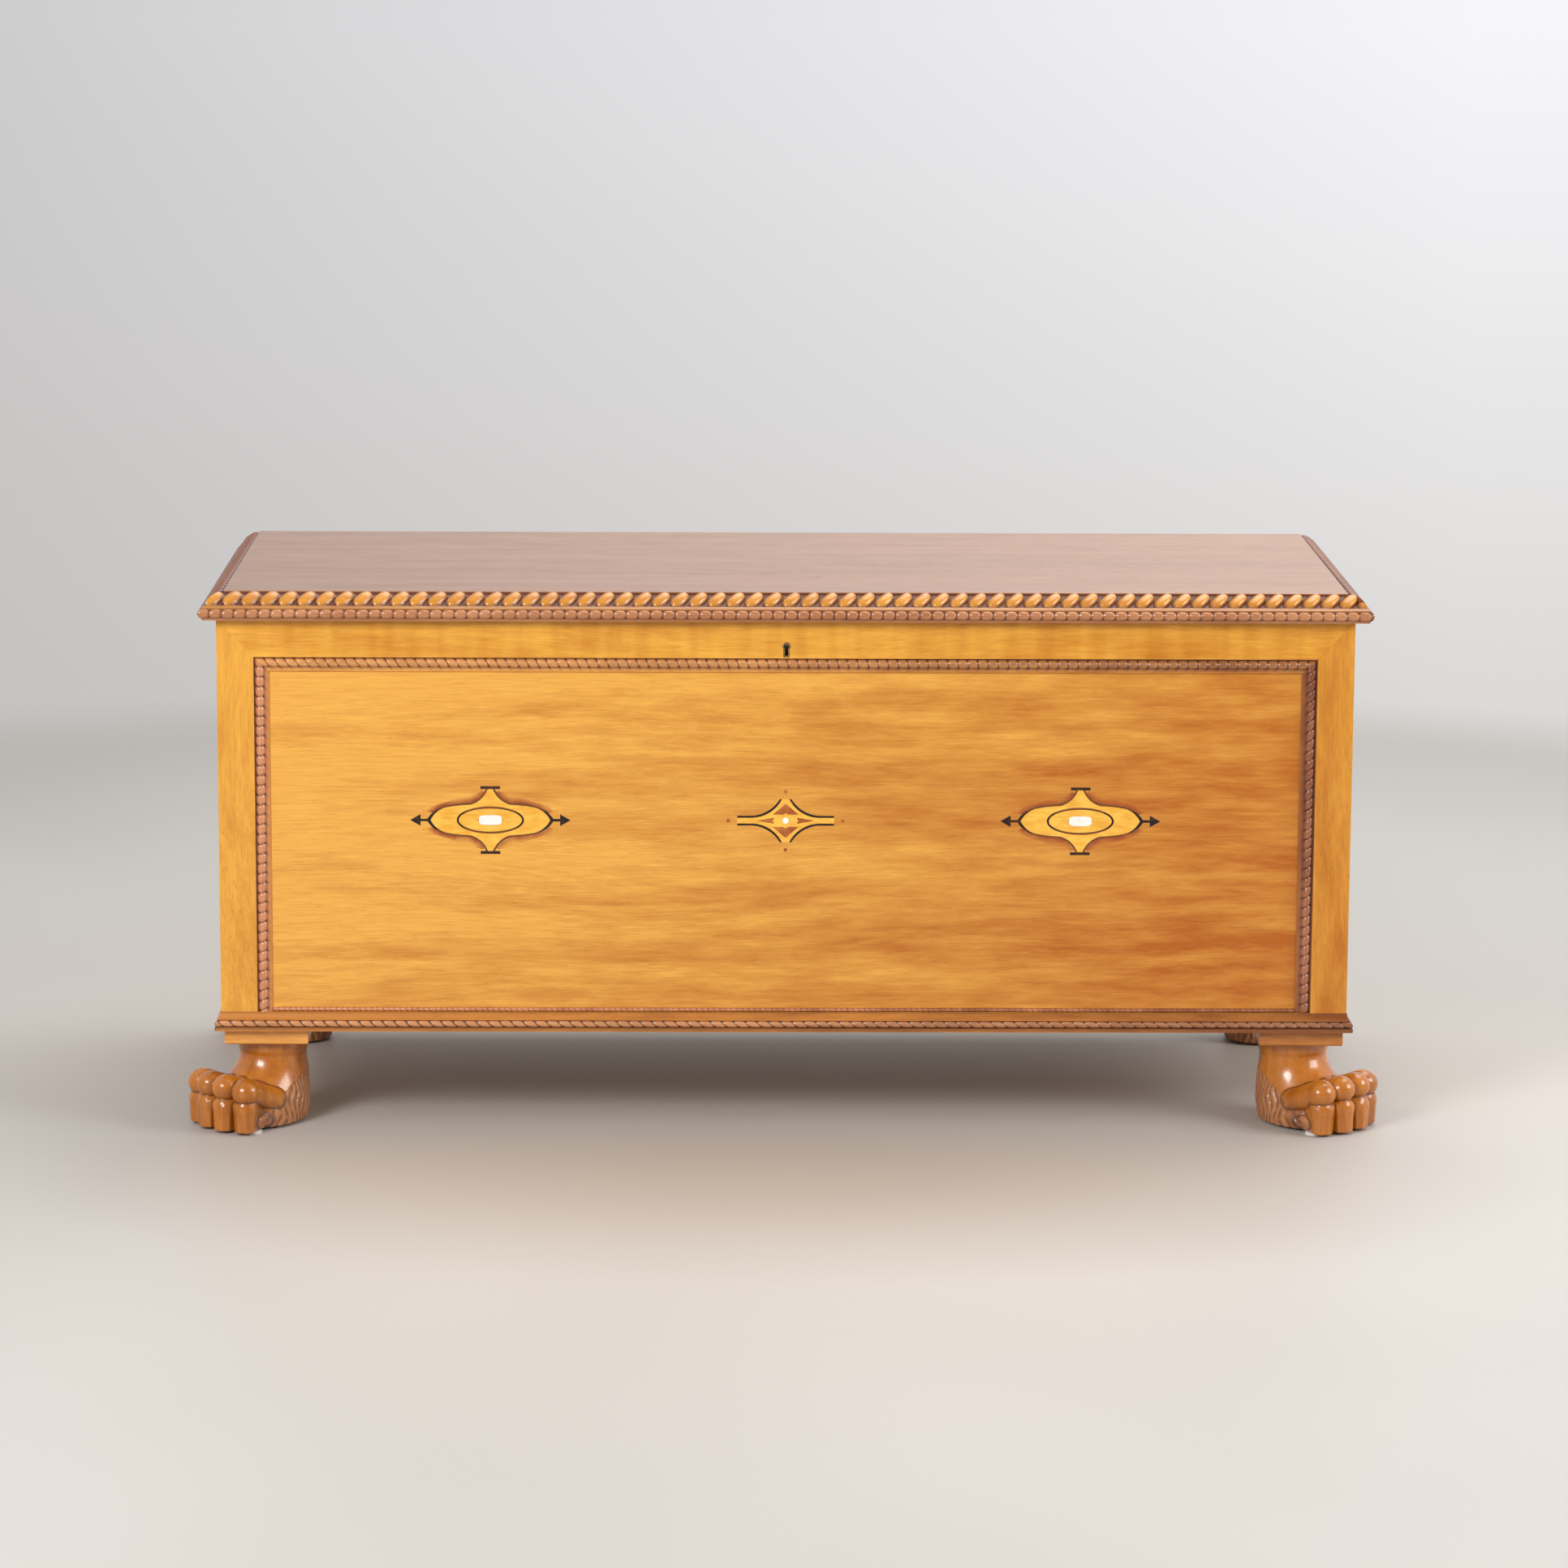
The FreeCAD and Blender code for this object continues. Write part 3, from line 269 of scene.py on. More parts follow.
def tone(red, green, blue):
    """A colour as it looks on a screen, 0 to 255, made linear."""
    shares = [value / 255 for value in (red, green, blue)]
    linear = [s / 12.92 if s <= 0.04045 else ((s + 0.055) / 1.055) ** 2.4 for s in shares]
    return (*linear, 1.0)


# Shader building

class Shading:
    """The node tree of a material or a world while it is wired up."""

    def __init__(self, owner):
        owner.use_nodes = True
        self.owner = owner
        self.tree = owner.node_tree
        self.tree.nodes.clear()

    def feed(self, socket, value):
        """Set an input to a value, or link it to a socket."""
        if isinstance(value, bpy.types.NodeSocket):
            self.tree.links.new(value, socket)
        else:
            socket.default_value = value

    def node(self, kind, inputs=None, **settings):
        """A node with its settings and inputs."""
        made = self.tree.nodes.new("ShaderNode" + kind)
        for name, value in settings.items():
            setattr(made, name, value)
        for name, value in (inputs or {}).items():
            self.feed(made.inputs[name], value)
        return made

    def place(self):
        """Where a point lies on the object, in metres."""
        return self.node("TexCoord").outputs["Object"]

    def axes(self, vector):
        """The three parts of a vector."""
        return self.node("SeparateXYZ", {0: vector}).outputs

    def stretch(self, vector, scale, shift=(0, 0, 0)):
        """Coordinates scaled and then moved."""
        inputs = {0: vector, 1: scale, 2: shift}
        return self.node("VectorMath", inputs, operation="MULTIPLY_ADD").outputs[0]

    def noise(self, vector, detail=2.0, roughness=0.5, distortion=0.0):
        """Soft noise from 0 to 1."""
        inputs = {"Vector": vector, "Scale": 1.0, "Detail": detail,
                  "Roughness": roughness, "Distortion": distortion}
        return self.node("TexNoise", inputs).outputs["Fac"]

    def remap(self, value, low, high, to_low=0.0, to_high=1.0):
        """Stretch a range of values, and cut it off at both ends."""
        inputs = {"Value": value, "From Min": low, "From Max": high,
                  "To Min": to_low, "To Max": to_high}
        return self.node("MapRange", inputs).outputs["Result"]

    def maths(self, operation, first, second=0.0):
        """One sum of two values."""
        return self.node("Math", {0: first, 1: second}, operation=operation).outputs[0]

    def total(self, *values):
        """Several values added up."""
        result = values[0]
        for value in values[1:]:
            result = self.maths("ADD", result, value)
        return result

    def mix(self, factor, first, second, blend="MIX"):
        """One colour laid over another."""
        inputs = {0: factor, 6: first, 7: second}
        return self.node("Mix", inputs, data_type="RGBA", blend_type=blend).outputs[2]

    def attribute(self, name):
        """A value that the mesh carries at its points."""
        return self.node("Attribute", attribute_name=name).outputs["Fac"]

    def bump(self, height, strength, distance):
        """A fine relief that only tilts the light."""
        inputs = {"Strength": strength, "Distance": distance, "Height": height}
        return self.node("Bump", inputs).outputs[0]

    def finish(self, shader, kind="Material"):
        """Link a shader to the output, and give back the owner."""
        self.node("Output" + kind, {"Surface": shader})
        return self.owner

    def surface(self, colour, roughness, normal, others):
        """Finish with one surface of a colour, roughness and relief, and its other inputs."""
        inputs = {"Base Color": colour, "Roughness": roughness, "Normal": normal, **others}
        return self.finish(self.node("BsdfPrincipled", inputs).outputs[0])


def new_tree(name):
    """The empty tree of a new material."""
    return Shading(bpy.data.materials.new(name))


# Oak: how far the grain wanders, and its patterns: whether they wander with it, how dense they
# are along and across the grain, and the detail and roughness of their noise
WANDER = 0.025
WANDER_DENSITY = (1.6, 5.0)
OAK_PATTERNS = (
    (True, 0.9, 26.0, 3.0, 0.55),
    (True, 11.0, 60.0, 4.0, 0.65),
    (False, 55.0, 7.0, 1.0, 0.5),
    (True, 20.0, 520.0, 3.0, 0.7),
    (True, 70.0, 1100.0, 1.0, 0.5),
)
STREAK_SHADE = tone(222, 190, 140)

# Between which places, sideways and upwards, the oak's tone and its painted shade drift
DRIFT_HALF_LENGTH = 0.65
DRIFT_LOW = 0.10
DRIFT_HIGH = 0.56


def grain_scale(axis, along, across):
    """A scale that draws patterns out along the grain."""
    return tuple(along if letter == axis else across for letter in "XYZ")


def oak_patterns(tree, place, axis, shift, figure):
    """The oak's bands, mottling, cross figure, streaks and pores, each from 0 to 1."""
    moved = tree.stretch(place, (1, 1, 1), shift)
    warp = tree.noise(tree.stretch(moved, grain_scale(axis, *WANDER_DENSITY)), detail=1.0)
    wander = tree.remap(warp, 0, 1, -WANDER * figure, WANDER * figure)
    bent = tree.node("VectorMath", {0: moved, 1: wander}, operation="ADD").outputs[0]
    patterns = []
    for wanders, along, across, detail, roughness in OAK_PATTERNS:
        vector = tree.stretch(bent if wanders else moved, grain_scale(axis, along, across))
        patterns.append(tree.noise(vector, detail=detail, roughness=roughness))
    return patterns


def oak(name, axis, pale, deep, stain, shift, tone_and_painted_light_drift=(0.0, 0.0), second=None, scorch=None,
        figure=1.0, curl=0.0, roughness=0.34, coat=0.15, pores=0.18):
    """Polished oak, with dark stain in the pores, and stain and painted shade in the hollows.

    It deepens by the drift's two amounts, towards the right and towards the foot. A second pair of
    tones shows where the mesh says so, and so does a scorch.
    """
    tree = new_tree(name)
    place = tree.place()
    band, mottle, cross, streak, pore = oak_patterns(tree, place, axis, shift, figure)
    axes = tree.axes(place)
    # Deeper towards the right is partly the oak's own tone and partly painted shade from the light
    # on the left;
    # deeper towards the foot is painted shade, and a paler right is a painted reflection
    blend = tree.total(
        tree.remap(band, 0.30, 0.72, 0.10, 0.60),
        tree.remap(mottle, 0.30, 0.70, -0.24, 0.30),
        tree.remap(cross, 0.30, 0.70, -curl, curl),
        tree.remap(axes[0], -DRIFT_HALF_LENGTH, DRIFT_HALF_LENGTH, -tone_and_painted_light_drift[0] / 2, tone_and_painted_light_drift[0] / 2),
        tree.remap(axes[2], DRIFT_HIGH, DRIFT_LOW, -tone_and_painted_light_drift[1] / 2, tone_and_painted_light_drift[1] / 2))
    colour = tree.mix(tree.remap(blend, 0, 1), pale, deep)
    if second:
        other = tree.mix(tree.remap(blend, 0, 1), *second)
        colour = tree.mix(tree.attribute("tint"), colour, other)
    colour = tree.mix(tree.remap(streak, 0.35, 0.70, 0.0, 0.5), colour, STREAK_SHADE, "MULTIPLY")
    pits = tree.remap(pore, 0.60, 0.76, 0.0, pores)
    colour = tree.mix(pits, colour, stain)
    if scorch:
        patchy = tree.noise(tree.stretch(place, (70, 70, 90)), detail=3.0)
        uneven = tree.remap(patchy, 0.35, 0.65, 0.55, 1.0)
        burn = tree.maths("MULTIPLY", tree.attribute("burn"), uneven)
        colour = tree.mix(burn, colour, scorch)
    # Hollows darken as stain and painted shade: the mesh marks gaps, grooves, creases and dark
    # joints
    stain_and_shade = tree.attribute("stain_and_shade")
    colour = tree.mix(tree.remap(stain_and_shade, 0.05, 0.95), colour, stain)
    height = tree.maths("SUBTRACT", tree.maths("MULTIPLY", streak, 0.35), pits)
    polish = tree.total(tree.remap(streak, 0.3, 0.7, roughness - 0.05, roughness + 0.08),
                        tree.maths("MULTIPLY", stain_and_shade, 0.3))
    return tree.surface(colour, polish, tree.bump(height, 0.35, 0.0005),
                        {"Coat Weight": coat, "Coat Roughness": 0.12, "IOR": 1.5})


def veneer(name, pale, deep):
    """A thin let-in wood of its own colour, with short grain along X."""
    tree = new_tree(name)
    place = tree.place()
    cloud = tree.noise(tree.stretch(place, (60.0, 130.0, 130.0)), detail=3.0, roughness=0.6)
    streak = tree.noise(tree.stretch(place, (60.0, 1500.0, 1500.0)), roughness=0.6)
    blend = tree.maths("ADD", tree.remap(cloud, 0.3, 0.7),
                       tree.remap(streak, 0.35, 0.7, -0.35, 0.35))
    colour = tree.mix(tree.remap(blend, 0, 1), pale, deep)
    polish = tree.remap(streak, 0.3, 0.7, 0.28, 0.40)
    return tree.surface(colour, polish, tree.bump(streak, 0.25, 0.0003),
                        {"Coat Weight": 0.15, "Coat Roughness": 0.16, "IOR": 1.5})


def stringing(name, black, brown):
    """Dark let-in line, black at a medallion's ends, caps and ring ends, and worn brown between."""
    tree = new_tree(name)
    place = tree.place()
    axes = tree.axes(place)
    off = tree.maths("SUBTRACT", tree.maths("ABSOLUTE", axes[0]), MEDALLION_SPACING)
    beside = tree.maths("ABSOLUTE", off)
    above = tree.maths("ABSOLUTE", tree.maths("SUBTRACT", axes[2], MEDALLION_HEIGHT))
    ends = tree.remap(beside, *INK_ENDS)
    caps = tree.remap(above, *INK_CAPS)
    ring = tree.maths("MULTIPLY", tree.remap(beside, *INK_RING_BESIDE),
                      tree.remap(above, *INK_RING_ABOVE))
    ink = tree.maths("MAXIMUM", tree.maths("MAXIMUM", ends, caps), ring)
    wear = tree.noise(tree.stretch(place, (160, 160, 160)), detail=3.0)
    ink = tree.maths("ADD", ink, tree.remap(wear, 0.35, 0.65, -INK_WEAR, INK_WEAR))
    polish = tree.remap(wear, 0.3, 0.7, 0.36, 0.5)
    colour = tree.mix(tree.remap(ink, 0, 1), brown, black)
    return tree.surface(colour, polish, tree.bump(wear, 0.2, 0.0003), {"IOR": 1.5})


def pearl(name):
    """Mother of pearl: milky layers with a faint change of hue."""
    tree = new_tree(name)
    place = tree.place()
    layers = tree.noise(tree.stretch(place, (90.0, 90.0, 240.0)), detail=3.0, distortion=1.4)
    milk = tree.mix(tree.remap(layers, 0.35, 0.65), tone(255, 253, 248), tone(238, 234, 220))
    rose = tree.noise(tree.stretch(place, (140.0, 140.0, 140.0), (3.0, 0, 0)), detail=1.0)
    colour = tree.mix(tree.remap(rose, 0.45, 0.75, 0.0, 0.35), milk, tone(240, 222, 220))
    polish = tree.remap(layers, 0.3, 0.7, 0.12, 0.26)
    return tree.surface(colour, polish, tree.bump(layers, 0.15, 0.0002),
                        {"Coat Weight": 0.4, "Coat Roughness": 0.06, "IOR": 1.6})


def metal(name, bright, dull, roughness):
    """Old worked metal with tarnish in patches and fine scratches."""
    tree = new_tree(name)
    place = tree.place()
    tarnish = tree.noise(tree.stretch(place, (55.0, 55.0, 55.0)), detail=5.0, roughness=0.65)
    scratch = tree.noise(tree.stretch(place, (120.0, 900.0, 2400.0)), detail=2.0)
    colour = tree.mix(tree.remap(tarnish, 0.42, 0.68), bright, dull)
    polish = tree.maths("ADD", tree.remap(tarnish, 0.35, 0.7, roughness, roughness + 0.25),
                        tree.remap(scratch, 0.3, 0.7, -0.05, 0.05))
    return tree.surface(colour, polish, tree.bump(scratch, 0.2, 0.0002), {"Metallic": 1.0})


def felt(name):
    """Pressed white wool."""
    tree = new_tree(name)
    fibre = tree.noise(tree.stretch(tree.place(), (900.0, 900.0, 900.0)), detail=4.0,
                       roughness=0.7, distortion=2.0)
    colour = tree.mix(tree.remap(fibre, 0.3, 0.7), tone(244, 242, 236), tone(205, 202, 194))
    return tree.surface(colour, 0.95, tree.bump(fibre, 0.6, 0.0005), {"Sheen Weight": 0.3})


OAK_STAIN = tone(128, 66, 20)
FRAME_PALE = tone(244, 182, 70)
FRAME_DEEP = tone(202, 128, 24)
PANEL_PALE = tone(238, 176, 76)
PANEL_DEEP = tone(182, 98, 4)
FRONT_PANEL = ("X", PANEL_PALE, PANEL_DEEP, OAK_STAIN, (0.3, 0.1, 0.7), (0.95, 0.30))

MATERIALS = {
    "panel": oak("golden_oak_panel", *FRONT_PANEL),
    "scorched": oak("scorched_panel", *FRONT_PANEL, scorch=tone(158, 68, 24)),
    "frame_x": oak("golden_oak_along_x", "X", FRAME_PALE, FRAME_DEEP, OAK_STAIN, (1.3, 0.4, 0.2),
                   tone_and_painted_light_drift=(0.40, 0.0), curl=0.16),
    "back": oak("golden_oak_back_boards", "X", FRAME_PALE, FRAME_DEEP, OAK_STAIN, (2.3, 0.7, 3.2),
                curl=0.05, roughness=0.4, coat=0.05),
    "frame_y": oak("golden_oak_along_y", "Y", FRAME_PALE, FRAME_DEEP, OAK_STAIN, (0.6, 2.1, 0.9),
                   tone_and_painted_light_drift=(0.40, 0.0), curl=0.12),
    "frame_z": oak("golden_oak_along_z", "Z", tone(238, 174, 66), tone(190, 114, 18), OAK_STAIN,
                   (2.2, 0.8, 1.6), tone_and_painted_light_drift=(0.40, 0.2), figure=2.0, pores=0.3),
    "side": oak("side_oak_panel", "Y", PANEL_PALE, PANEL_DEEP, OAK_STAIN, (0.9, 1.5, 2.7),
                tone_and_painted_light_drift=(0.3, 0.3)),
    "plinth": oak("golden_oak_plinth", "X", tone(238, 170, 84), tone(158, 84, 24), OAK_STAIN,
                  (0.3, 0.9, 2.2), tone_and_painted_light_drift=(0.75, 0.0)),
    "plain": oak("plain_oak_inside", "X", tone(208, 164, 110), tone(168, 118, 68), tone(96, 58, 30),
                 (3.1, 1.2, 0.4), roughness=0.5, coat=0.0, pores=0.5),
    "carved": oak("carved_oak_paw", "Z", tone(210, 132, 42), tone(132, 64, 12), tone(62, 22, 8),
                  (0.2, 0.9, 1.1), second=(tone(206, 142, 90), tone(148, 88, 46)),
                  roughness=0.26, coat=0.45, pores=0.2),
    "beads": oak("stained_side_strips", "Z", tone(206, 138, 62), tone(138, 70, 26),
                 tone(96, 40, 22), (0.5, 1.9, 0.3), tone_and_painted_light_drift=(1.0, 0.0),
                 second=(tone(212, 146, 106), tone(124, 68, 42)), roughness=0.28, coat=0.35),
    "top_beads": oak("stained_top_strip", "X", tone(232, 166, 78), tone(168, 94, 28),
                     tone(96, 42, 20), (0.9, 1.1, 0.3), tone_and_painted_light_drift=(1.0, 0.0),
                     second=(tone(220, 158, 96), tone(122, 66, 36)), roughness=0.28, coat=0.3),
    "rope": oak("carved_oak_rope", "X", tone(226, 160, 60), tone(178, 104, 30), tone(98, 42, 16),
                (1.1, 0.2, 0.6), tone_and_painted_light_drift=(0.3, 0.0), second=(tone(206, 146, 102), tone(150, 88, 48)),
                roughness=0.26, coat=0.35),
    # Darker than the front: painted shade, as the ends' slopes face away from the light
    "edge": oak("carved_oak_lid_ends_in_painted_shade", "Y", tone(142, 86, 52), tone(104, 58, 36), tone(46, 22, 14),
                (1.6, 0.2, 0.6), second=(tone(150, 92, 56), tone(110, 62, 38)), roughness=0.32,
                coat=0.2),
    "base": oak("moulded_oak_base", "X", tone(198, 128, 52), tone(130, 70, 22), tone(66, 30, 18),
                (0.1, 0.2, 2.6), tone_and_painted_light_drift=(0.8, 0.0), second=(tone(206, 146, 100), tone(122, 72, 50)),
                roughness=0.3, coat=0.3),
    # Paler towards the right: a painted reflection of the brighter backdrop there
    "lid": oak("lid_oak", "X", tone(178, 134, 102), tone(144, 102, 74), tone(80, 48, 30),
               (2.4, 0.3, 1.4), tone_and_painted_light_drift=(-0.5, 0.0), roughness=0.30, coat=0.2, pores=0.3),
    "dark": stringing("dark_stringing", tone(26, 12, 12), tone(122, 68, 26)),
    "light": veneer("satinwood_veneer", tone(250, 194, 78), tone(232, 162, 48)),
    "pearl": pearl("mother_of_pearl"),
    "brass": metal("old_brass", tone(214, 176, 104), tone(120, 88, 48), 0.28),
    "steel": metal("old_steel", tone(170, 168, 164), tone(84, 78, 74), 0.32),
    "felt": felt("white_felt"),
}


# Mesh building

def add_object(name, data):
    """A new object in the scene."""
    made = bpy.data.objects.new(name, data)
    bpy.context.scene.collection.objects.link(made)
    return made


def dress_piece(name, mesh, material, body, replaced, values=None, edge_angle=EDGE_ANGLE):
    """A new piece from a mesh, with its finish, which rides on a body and stands for CAD nodes."""
    for title, numbers in (values or {}).items():
        layer = mesh.attributes.new(title, "FLOAT", "POINT")
        layer.data.foreach_set("value", np.asarray(numbers, np.float32))
    mesh.shade_smooth()
    mesh.set_sharp_from_angle(angle=edge_angle)
    mesh.materials.clear()
    mesh.materials.append(MATERIALS[material])
    piece = add_object(name, mesh)
    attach(piece, body)
    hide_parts(*replaced)


def make_piece(name, points, faces, material, body, replaced, values=None):
    """A new piece from points and faces."""
    mesh = bpy.data.meshes.new(name)
    mesh.from_pydata(points, [], faces)
    work = bmesh.new()
    work.from_mesh(mesh)
    bmesh.ops.recalc_face_normals(work, faces=work.faces)
    work.to_mesh(mesh)
    work.free()
    dress_piece(name, mesh, material, body, replaced, values)


class Outline:
    """The closed section of a moulding, in (across, outward), with what is carved into it."""

    def __init__(self):
        self.stations = []

    def line(self, start, end, parts=1, carve=None, tint=0.0, shade=0.0):
        """Points from the start up to the end, which the next stretch begins with."""
        start, end = np.array(start, float), np.array(end, float)
        direction = (end - start) / np.linalg.norm(end - start)
        normal = np.array((-direction[1], direction[0]))
        for index in range(parts):
            share = index / parts
            self.stations.append((start + (end - start) * share, normal, carve, share, tint, shade))

    def arch(self, centre, tall, proud, neck_share, parts, carve, tint=1.0):
        """A half oval that stands outward on a flat, and swells from its neck to its full size."""
        for index in range(parts + 1):
            share = index / parts
            angle = math.pi * share
            radial = np.array((-math.cos(angle) * tall, math.sin(angle) * proud))
            start = np.array(centre) + radial * neck_share
            self.stations.append((start, radial * (1 - neck_share), carve, share, tint, 0.0))


def sweep(outline, length, flat=(0, 0), turned=(0, 0), rounded=0.0, width=0.0):
    """Draw an outline out along X, its ends mitred flat, turned round a corner or rounded off."""
    count = max(1, round(length / CARVING_STEP))
    share = np.linspace(0, 1, count + 1)

    def run(across, outward):
        start = across * flat[0] - outward * turned[0]
        past = np.clip(outward - (width - rounded), 0, rounded)
        end = length - across * flat[1] + outward * turned[1]
        end = end - (rounded - np.sqrt(np.maximum(rounded ** 2 - past ** 2, 0)))
        return start + (end - start) * share

    rows, stain_and_shade_rows, tints = [], [], []
    for point, normal, carve, place, tint, shade in outline.stations:
        x = run(np.full(count + 1, point[0]), np.full(count + 1, point[1]))
        plain = (np.zeros(count + 1), np.full(count + 1, shade))
        height, stain_and_shade = carve(x, place) if carve else plain
        across = point[0] + normal[0] * height
        outward = point[1] + normal[1] * height
        rows.append(np.stack((run(across, outward), across, outward), axis=1))
        stain_and_shade_rows.append(stain_and_shade)
        tints.append(np.full(count + 1, tint))
    points = np.stack(rows, axis=1).reshape(-1, 3)
    size = len(outline.stations)
    faces = []
    for column in range(count):
        here, there = column * size, (column + 1) * size
        for index in range(size):
            after = (index + 1) % size
            faces.append((here + index, here + after, there + after, there + index))
    faces.append(tuple(range(size)))
    faces.append(tuple(count * size + index for index in reversed(range(size))))
    values = {"stain_and_shade": np.stack(stain_and_shade_rows, axis=1).ravel(), "tint": np.stack(tints, axis=1).ravel()}
    return points, faces, values


def stand(points, origin, across, outward):
    """Put points drawn with X along, Y across and Z outward where they belong."""
    along = across.cross(outward)
    turn = np.array((along, across, outward))
    return (points @ turn + np.array(origin)).tolist()


def beads(pitch, lean=0.0, fullness=BEAD_FULLNESS):
    """A row of beads turned on a half round, or twisted if they lean."""
    def carve(x, share):
        phase = (x - lean * math.cos(math.pi * share)) / pitch
        off = np.abs(2 * (phase - np.floor(phase)) - 1)
        swell = np.sqrt(np.clip(1 - off ** fullness, 0, 1))
        foot = abs(2 * share - 1) ** BEAD_FOOT_POWER
        # Stain and painted shade: dark in the gaps and at the foot, none on the crest
        shade = BEAD_GAP_SHADE - BEAD_CREST_LIGHT * swell + BEAD_FOOT_SHADE * foot
        return swell, np.clip(shade, 0, 1)
    return carve


def rope(slope_length):
    """Leaning lobes, side by side, over a sunk ground."""
    def carve(x, share):
        down = (1 - share) * slope_length
        rise = ROPE_MIDDLE_SHARE * slope_length - down
        height = np.full_like(x, -ROPE_SINK)
        for near in (-1, 0, 1):
            centre = (np.floor(x / ROPE_PITCH) + near + 0.5) * ROPE_PITCH
            off = x - centre
            long = (off * math.sin(ROPE_LEAN) + rise * math.cos(ROPE_LEAN)) / ROPE_HALF_LENGTH
            wide = (off * math.cos(ROPE_LEAN) - rise * math.sin(ROPE_LEAN)) / ROPE_HALF_WIDTH
            room = 1 - np.abs(long) ** ROPE_LONG_FULLNESS - np.abs(wide) ** ROPE_WIDE_FULLNESS
            full = np.sqrt(np.clip(room, 0, 1))
            height = np.maximum(height, full * (ROPE_RISE + ROPE_SINK) - ROPE_SINK)
        # The rope's sunk ground is darkened with stain and painted shade
        low = 1 - (height + ROPE_SINK) / (ROPE_SHADE_DEPTH * (ROPE_RISE + ROPE_SINK))
        edge = min(max(min(down, ROPE_BAND - down) / ROPE_FADE, 0.0), 1.0)
        inside = 1.0 if down < ROPE_BAND else ROPE_OUTSIDE_SHADE
        return height * edge, np.clip(low, 0, 1) * inside
    return carve


# Mouldings

def lid_outline(width, thickness):
    """Underside, lip, bead row and carved slope."""
    lip = width - LID_BEAD_RISE
    slope = math.hypot(thickness - LID_LIP_HIGH, lip)
    shape = Outline()
    shape.line((0, 0), (0, width - LID_UNDER_INSET), tint=1)
    shape.line((0, width - LID_UNDER_INSET), (LID_LIP_LOW, lip), tint=1)
    shape.line((LID_LIP_LOW, lip), (LID_BEAD_HEIGHT - LID_BEAD_HALF_HEIGHT, lip), tint=1,
               shade=LID_NECK_SHADE)
    shape.arch((LID_BEAD_HEIGHT, lip), LID_BEAD_HALF_HEIGHT, LID_BEAD_RISE, LID_BEAD_NECK_SHARE,
               LID_BEAD_PARTS, beads(LID_BEAD_PITCH, fullness=LID_BEAD_FULLNESS))
    shape.line((LID_LIP_HIGH, lip), (thickness, 0), ROPE_PARTS, rope(slope))
    shape.line((thickness, 0), (0, 0), tint=1)
    return shape


def base_outline(width, height):
    """Lip, rope row on its ledge, and cove."""
    middle = (BASE_LIP_HEIGHT + BASE_LEDGE_HEIGHT) / 2
    shape = Outline()
    shape.line((0, 0), (0, width))
    shape.line((0, width), (BASE_LIP_HEIGHT, width))
    shape.line((BASE_LIP_HEIGHT, width), (BASE_LIP_HEIGHT, BASE_LEDGE_REACH),
               shade=BASE_HOLLOW_SHADE)
    shape.arch((middle, BASE_LEDGE_REACH), BASE_ROPE_CREST, BASE_ROPE_CREST, BASE_ROPE_NECK_SHARE,
               BASE_ROPE_PARTS, beads(BASE_ROPE_PITCH, BASE_ROPE_LEAN))
    shape.line((BASE_LEDGE_HEIGHT, BASE_LEDGE_REACH), (BASE_COVE_HEIGHT, BASE_COVE_REACH),
               shade=BASE_HOLLOW_SHADE)
    for index in range(BASE_COVE_STEPS):
        share = index / BASE_COVE_STEPS
        sag = 4 * share * (1 - share) * BASE_COVE_SAG
        here = (BASE_COVE_HEIGHT + (height - BASE_COVE_HEIGHT) * share,
                BASE_COVE_REACH + (BASE_TOP_REACH - BASE_COVE_REACH) * share - sag)
        shape.line(here, (here[0] + CARVING_STEP, here[1]))
    shape.line((height, BASE_TOP_REACH), (height, 0), shade=BASE_HOLLOW_SHADE)
    shape.line((height, 0), (0, 0))
    return shape


def strip_outline(width):
    """A flat fillet with a row of beads along its outer edge."""
    shape = Outline()
    shape.line((0, 0), (0, STRIP_THICKNESS), shade=STRIP_SHADOW_SHADE)
    shape.line((0, STRIP_THICKNESS), (STRIP_SHADOW_WIDTH, STRIP_THICKNESS),
               shade=STRIP_SHADOW_SHADE)
    shape.arch((STRIP_INSET, STRIP_THICKNESS), STRIP_CREST, STRIP_CREST, STRIP_NECK_SHARE,
               STRIP_PARTS, beads(STRIP_PITCH, STRIP_LEAN, STRIP_FULLNESS))
    shape.line((width - STRIP_EASE, STRIP_THICKNESS), (width, STRIP_THICKNESS - STRIP_EASE))
    shape.line((width, STRIP_THICKNESS - STRIP_EASE), (width, 0))
    shape.line((width, 0), (0, 0))
    return shape


def low_strip_outline(width):
    """The thin beaded strip at a panel's foot."""
    shape = Outline()
    shape.line((0, 0), (0, STRIP_THICKNESS))
    shape.arch((width / 2, STRIP_THICKNESS), LOW_STRIP_CREST, LOW_STRIP_CREST, STRIP_NECK_SHARE,
               LOW_STRIP_PARTS, beads(LOW_STRIP_PITCH, LOW_STRIP_LEAN))
    shape.line((width, STRIP_THICKNESS), (width, 0))
    shape.line((width, 0), (0, 0))
    return shape


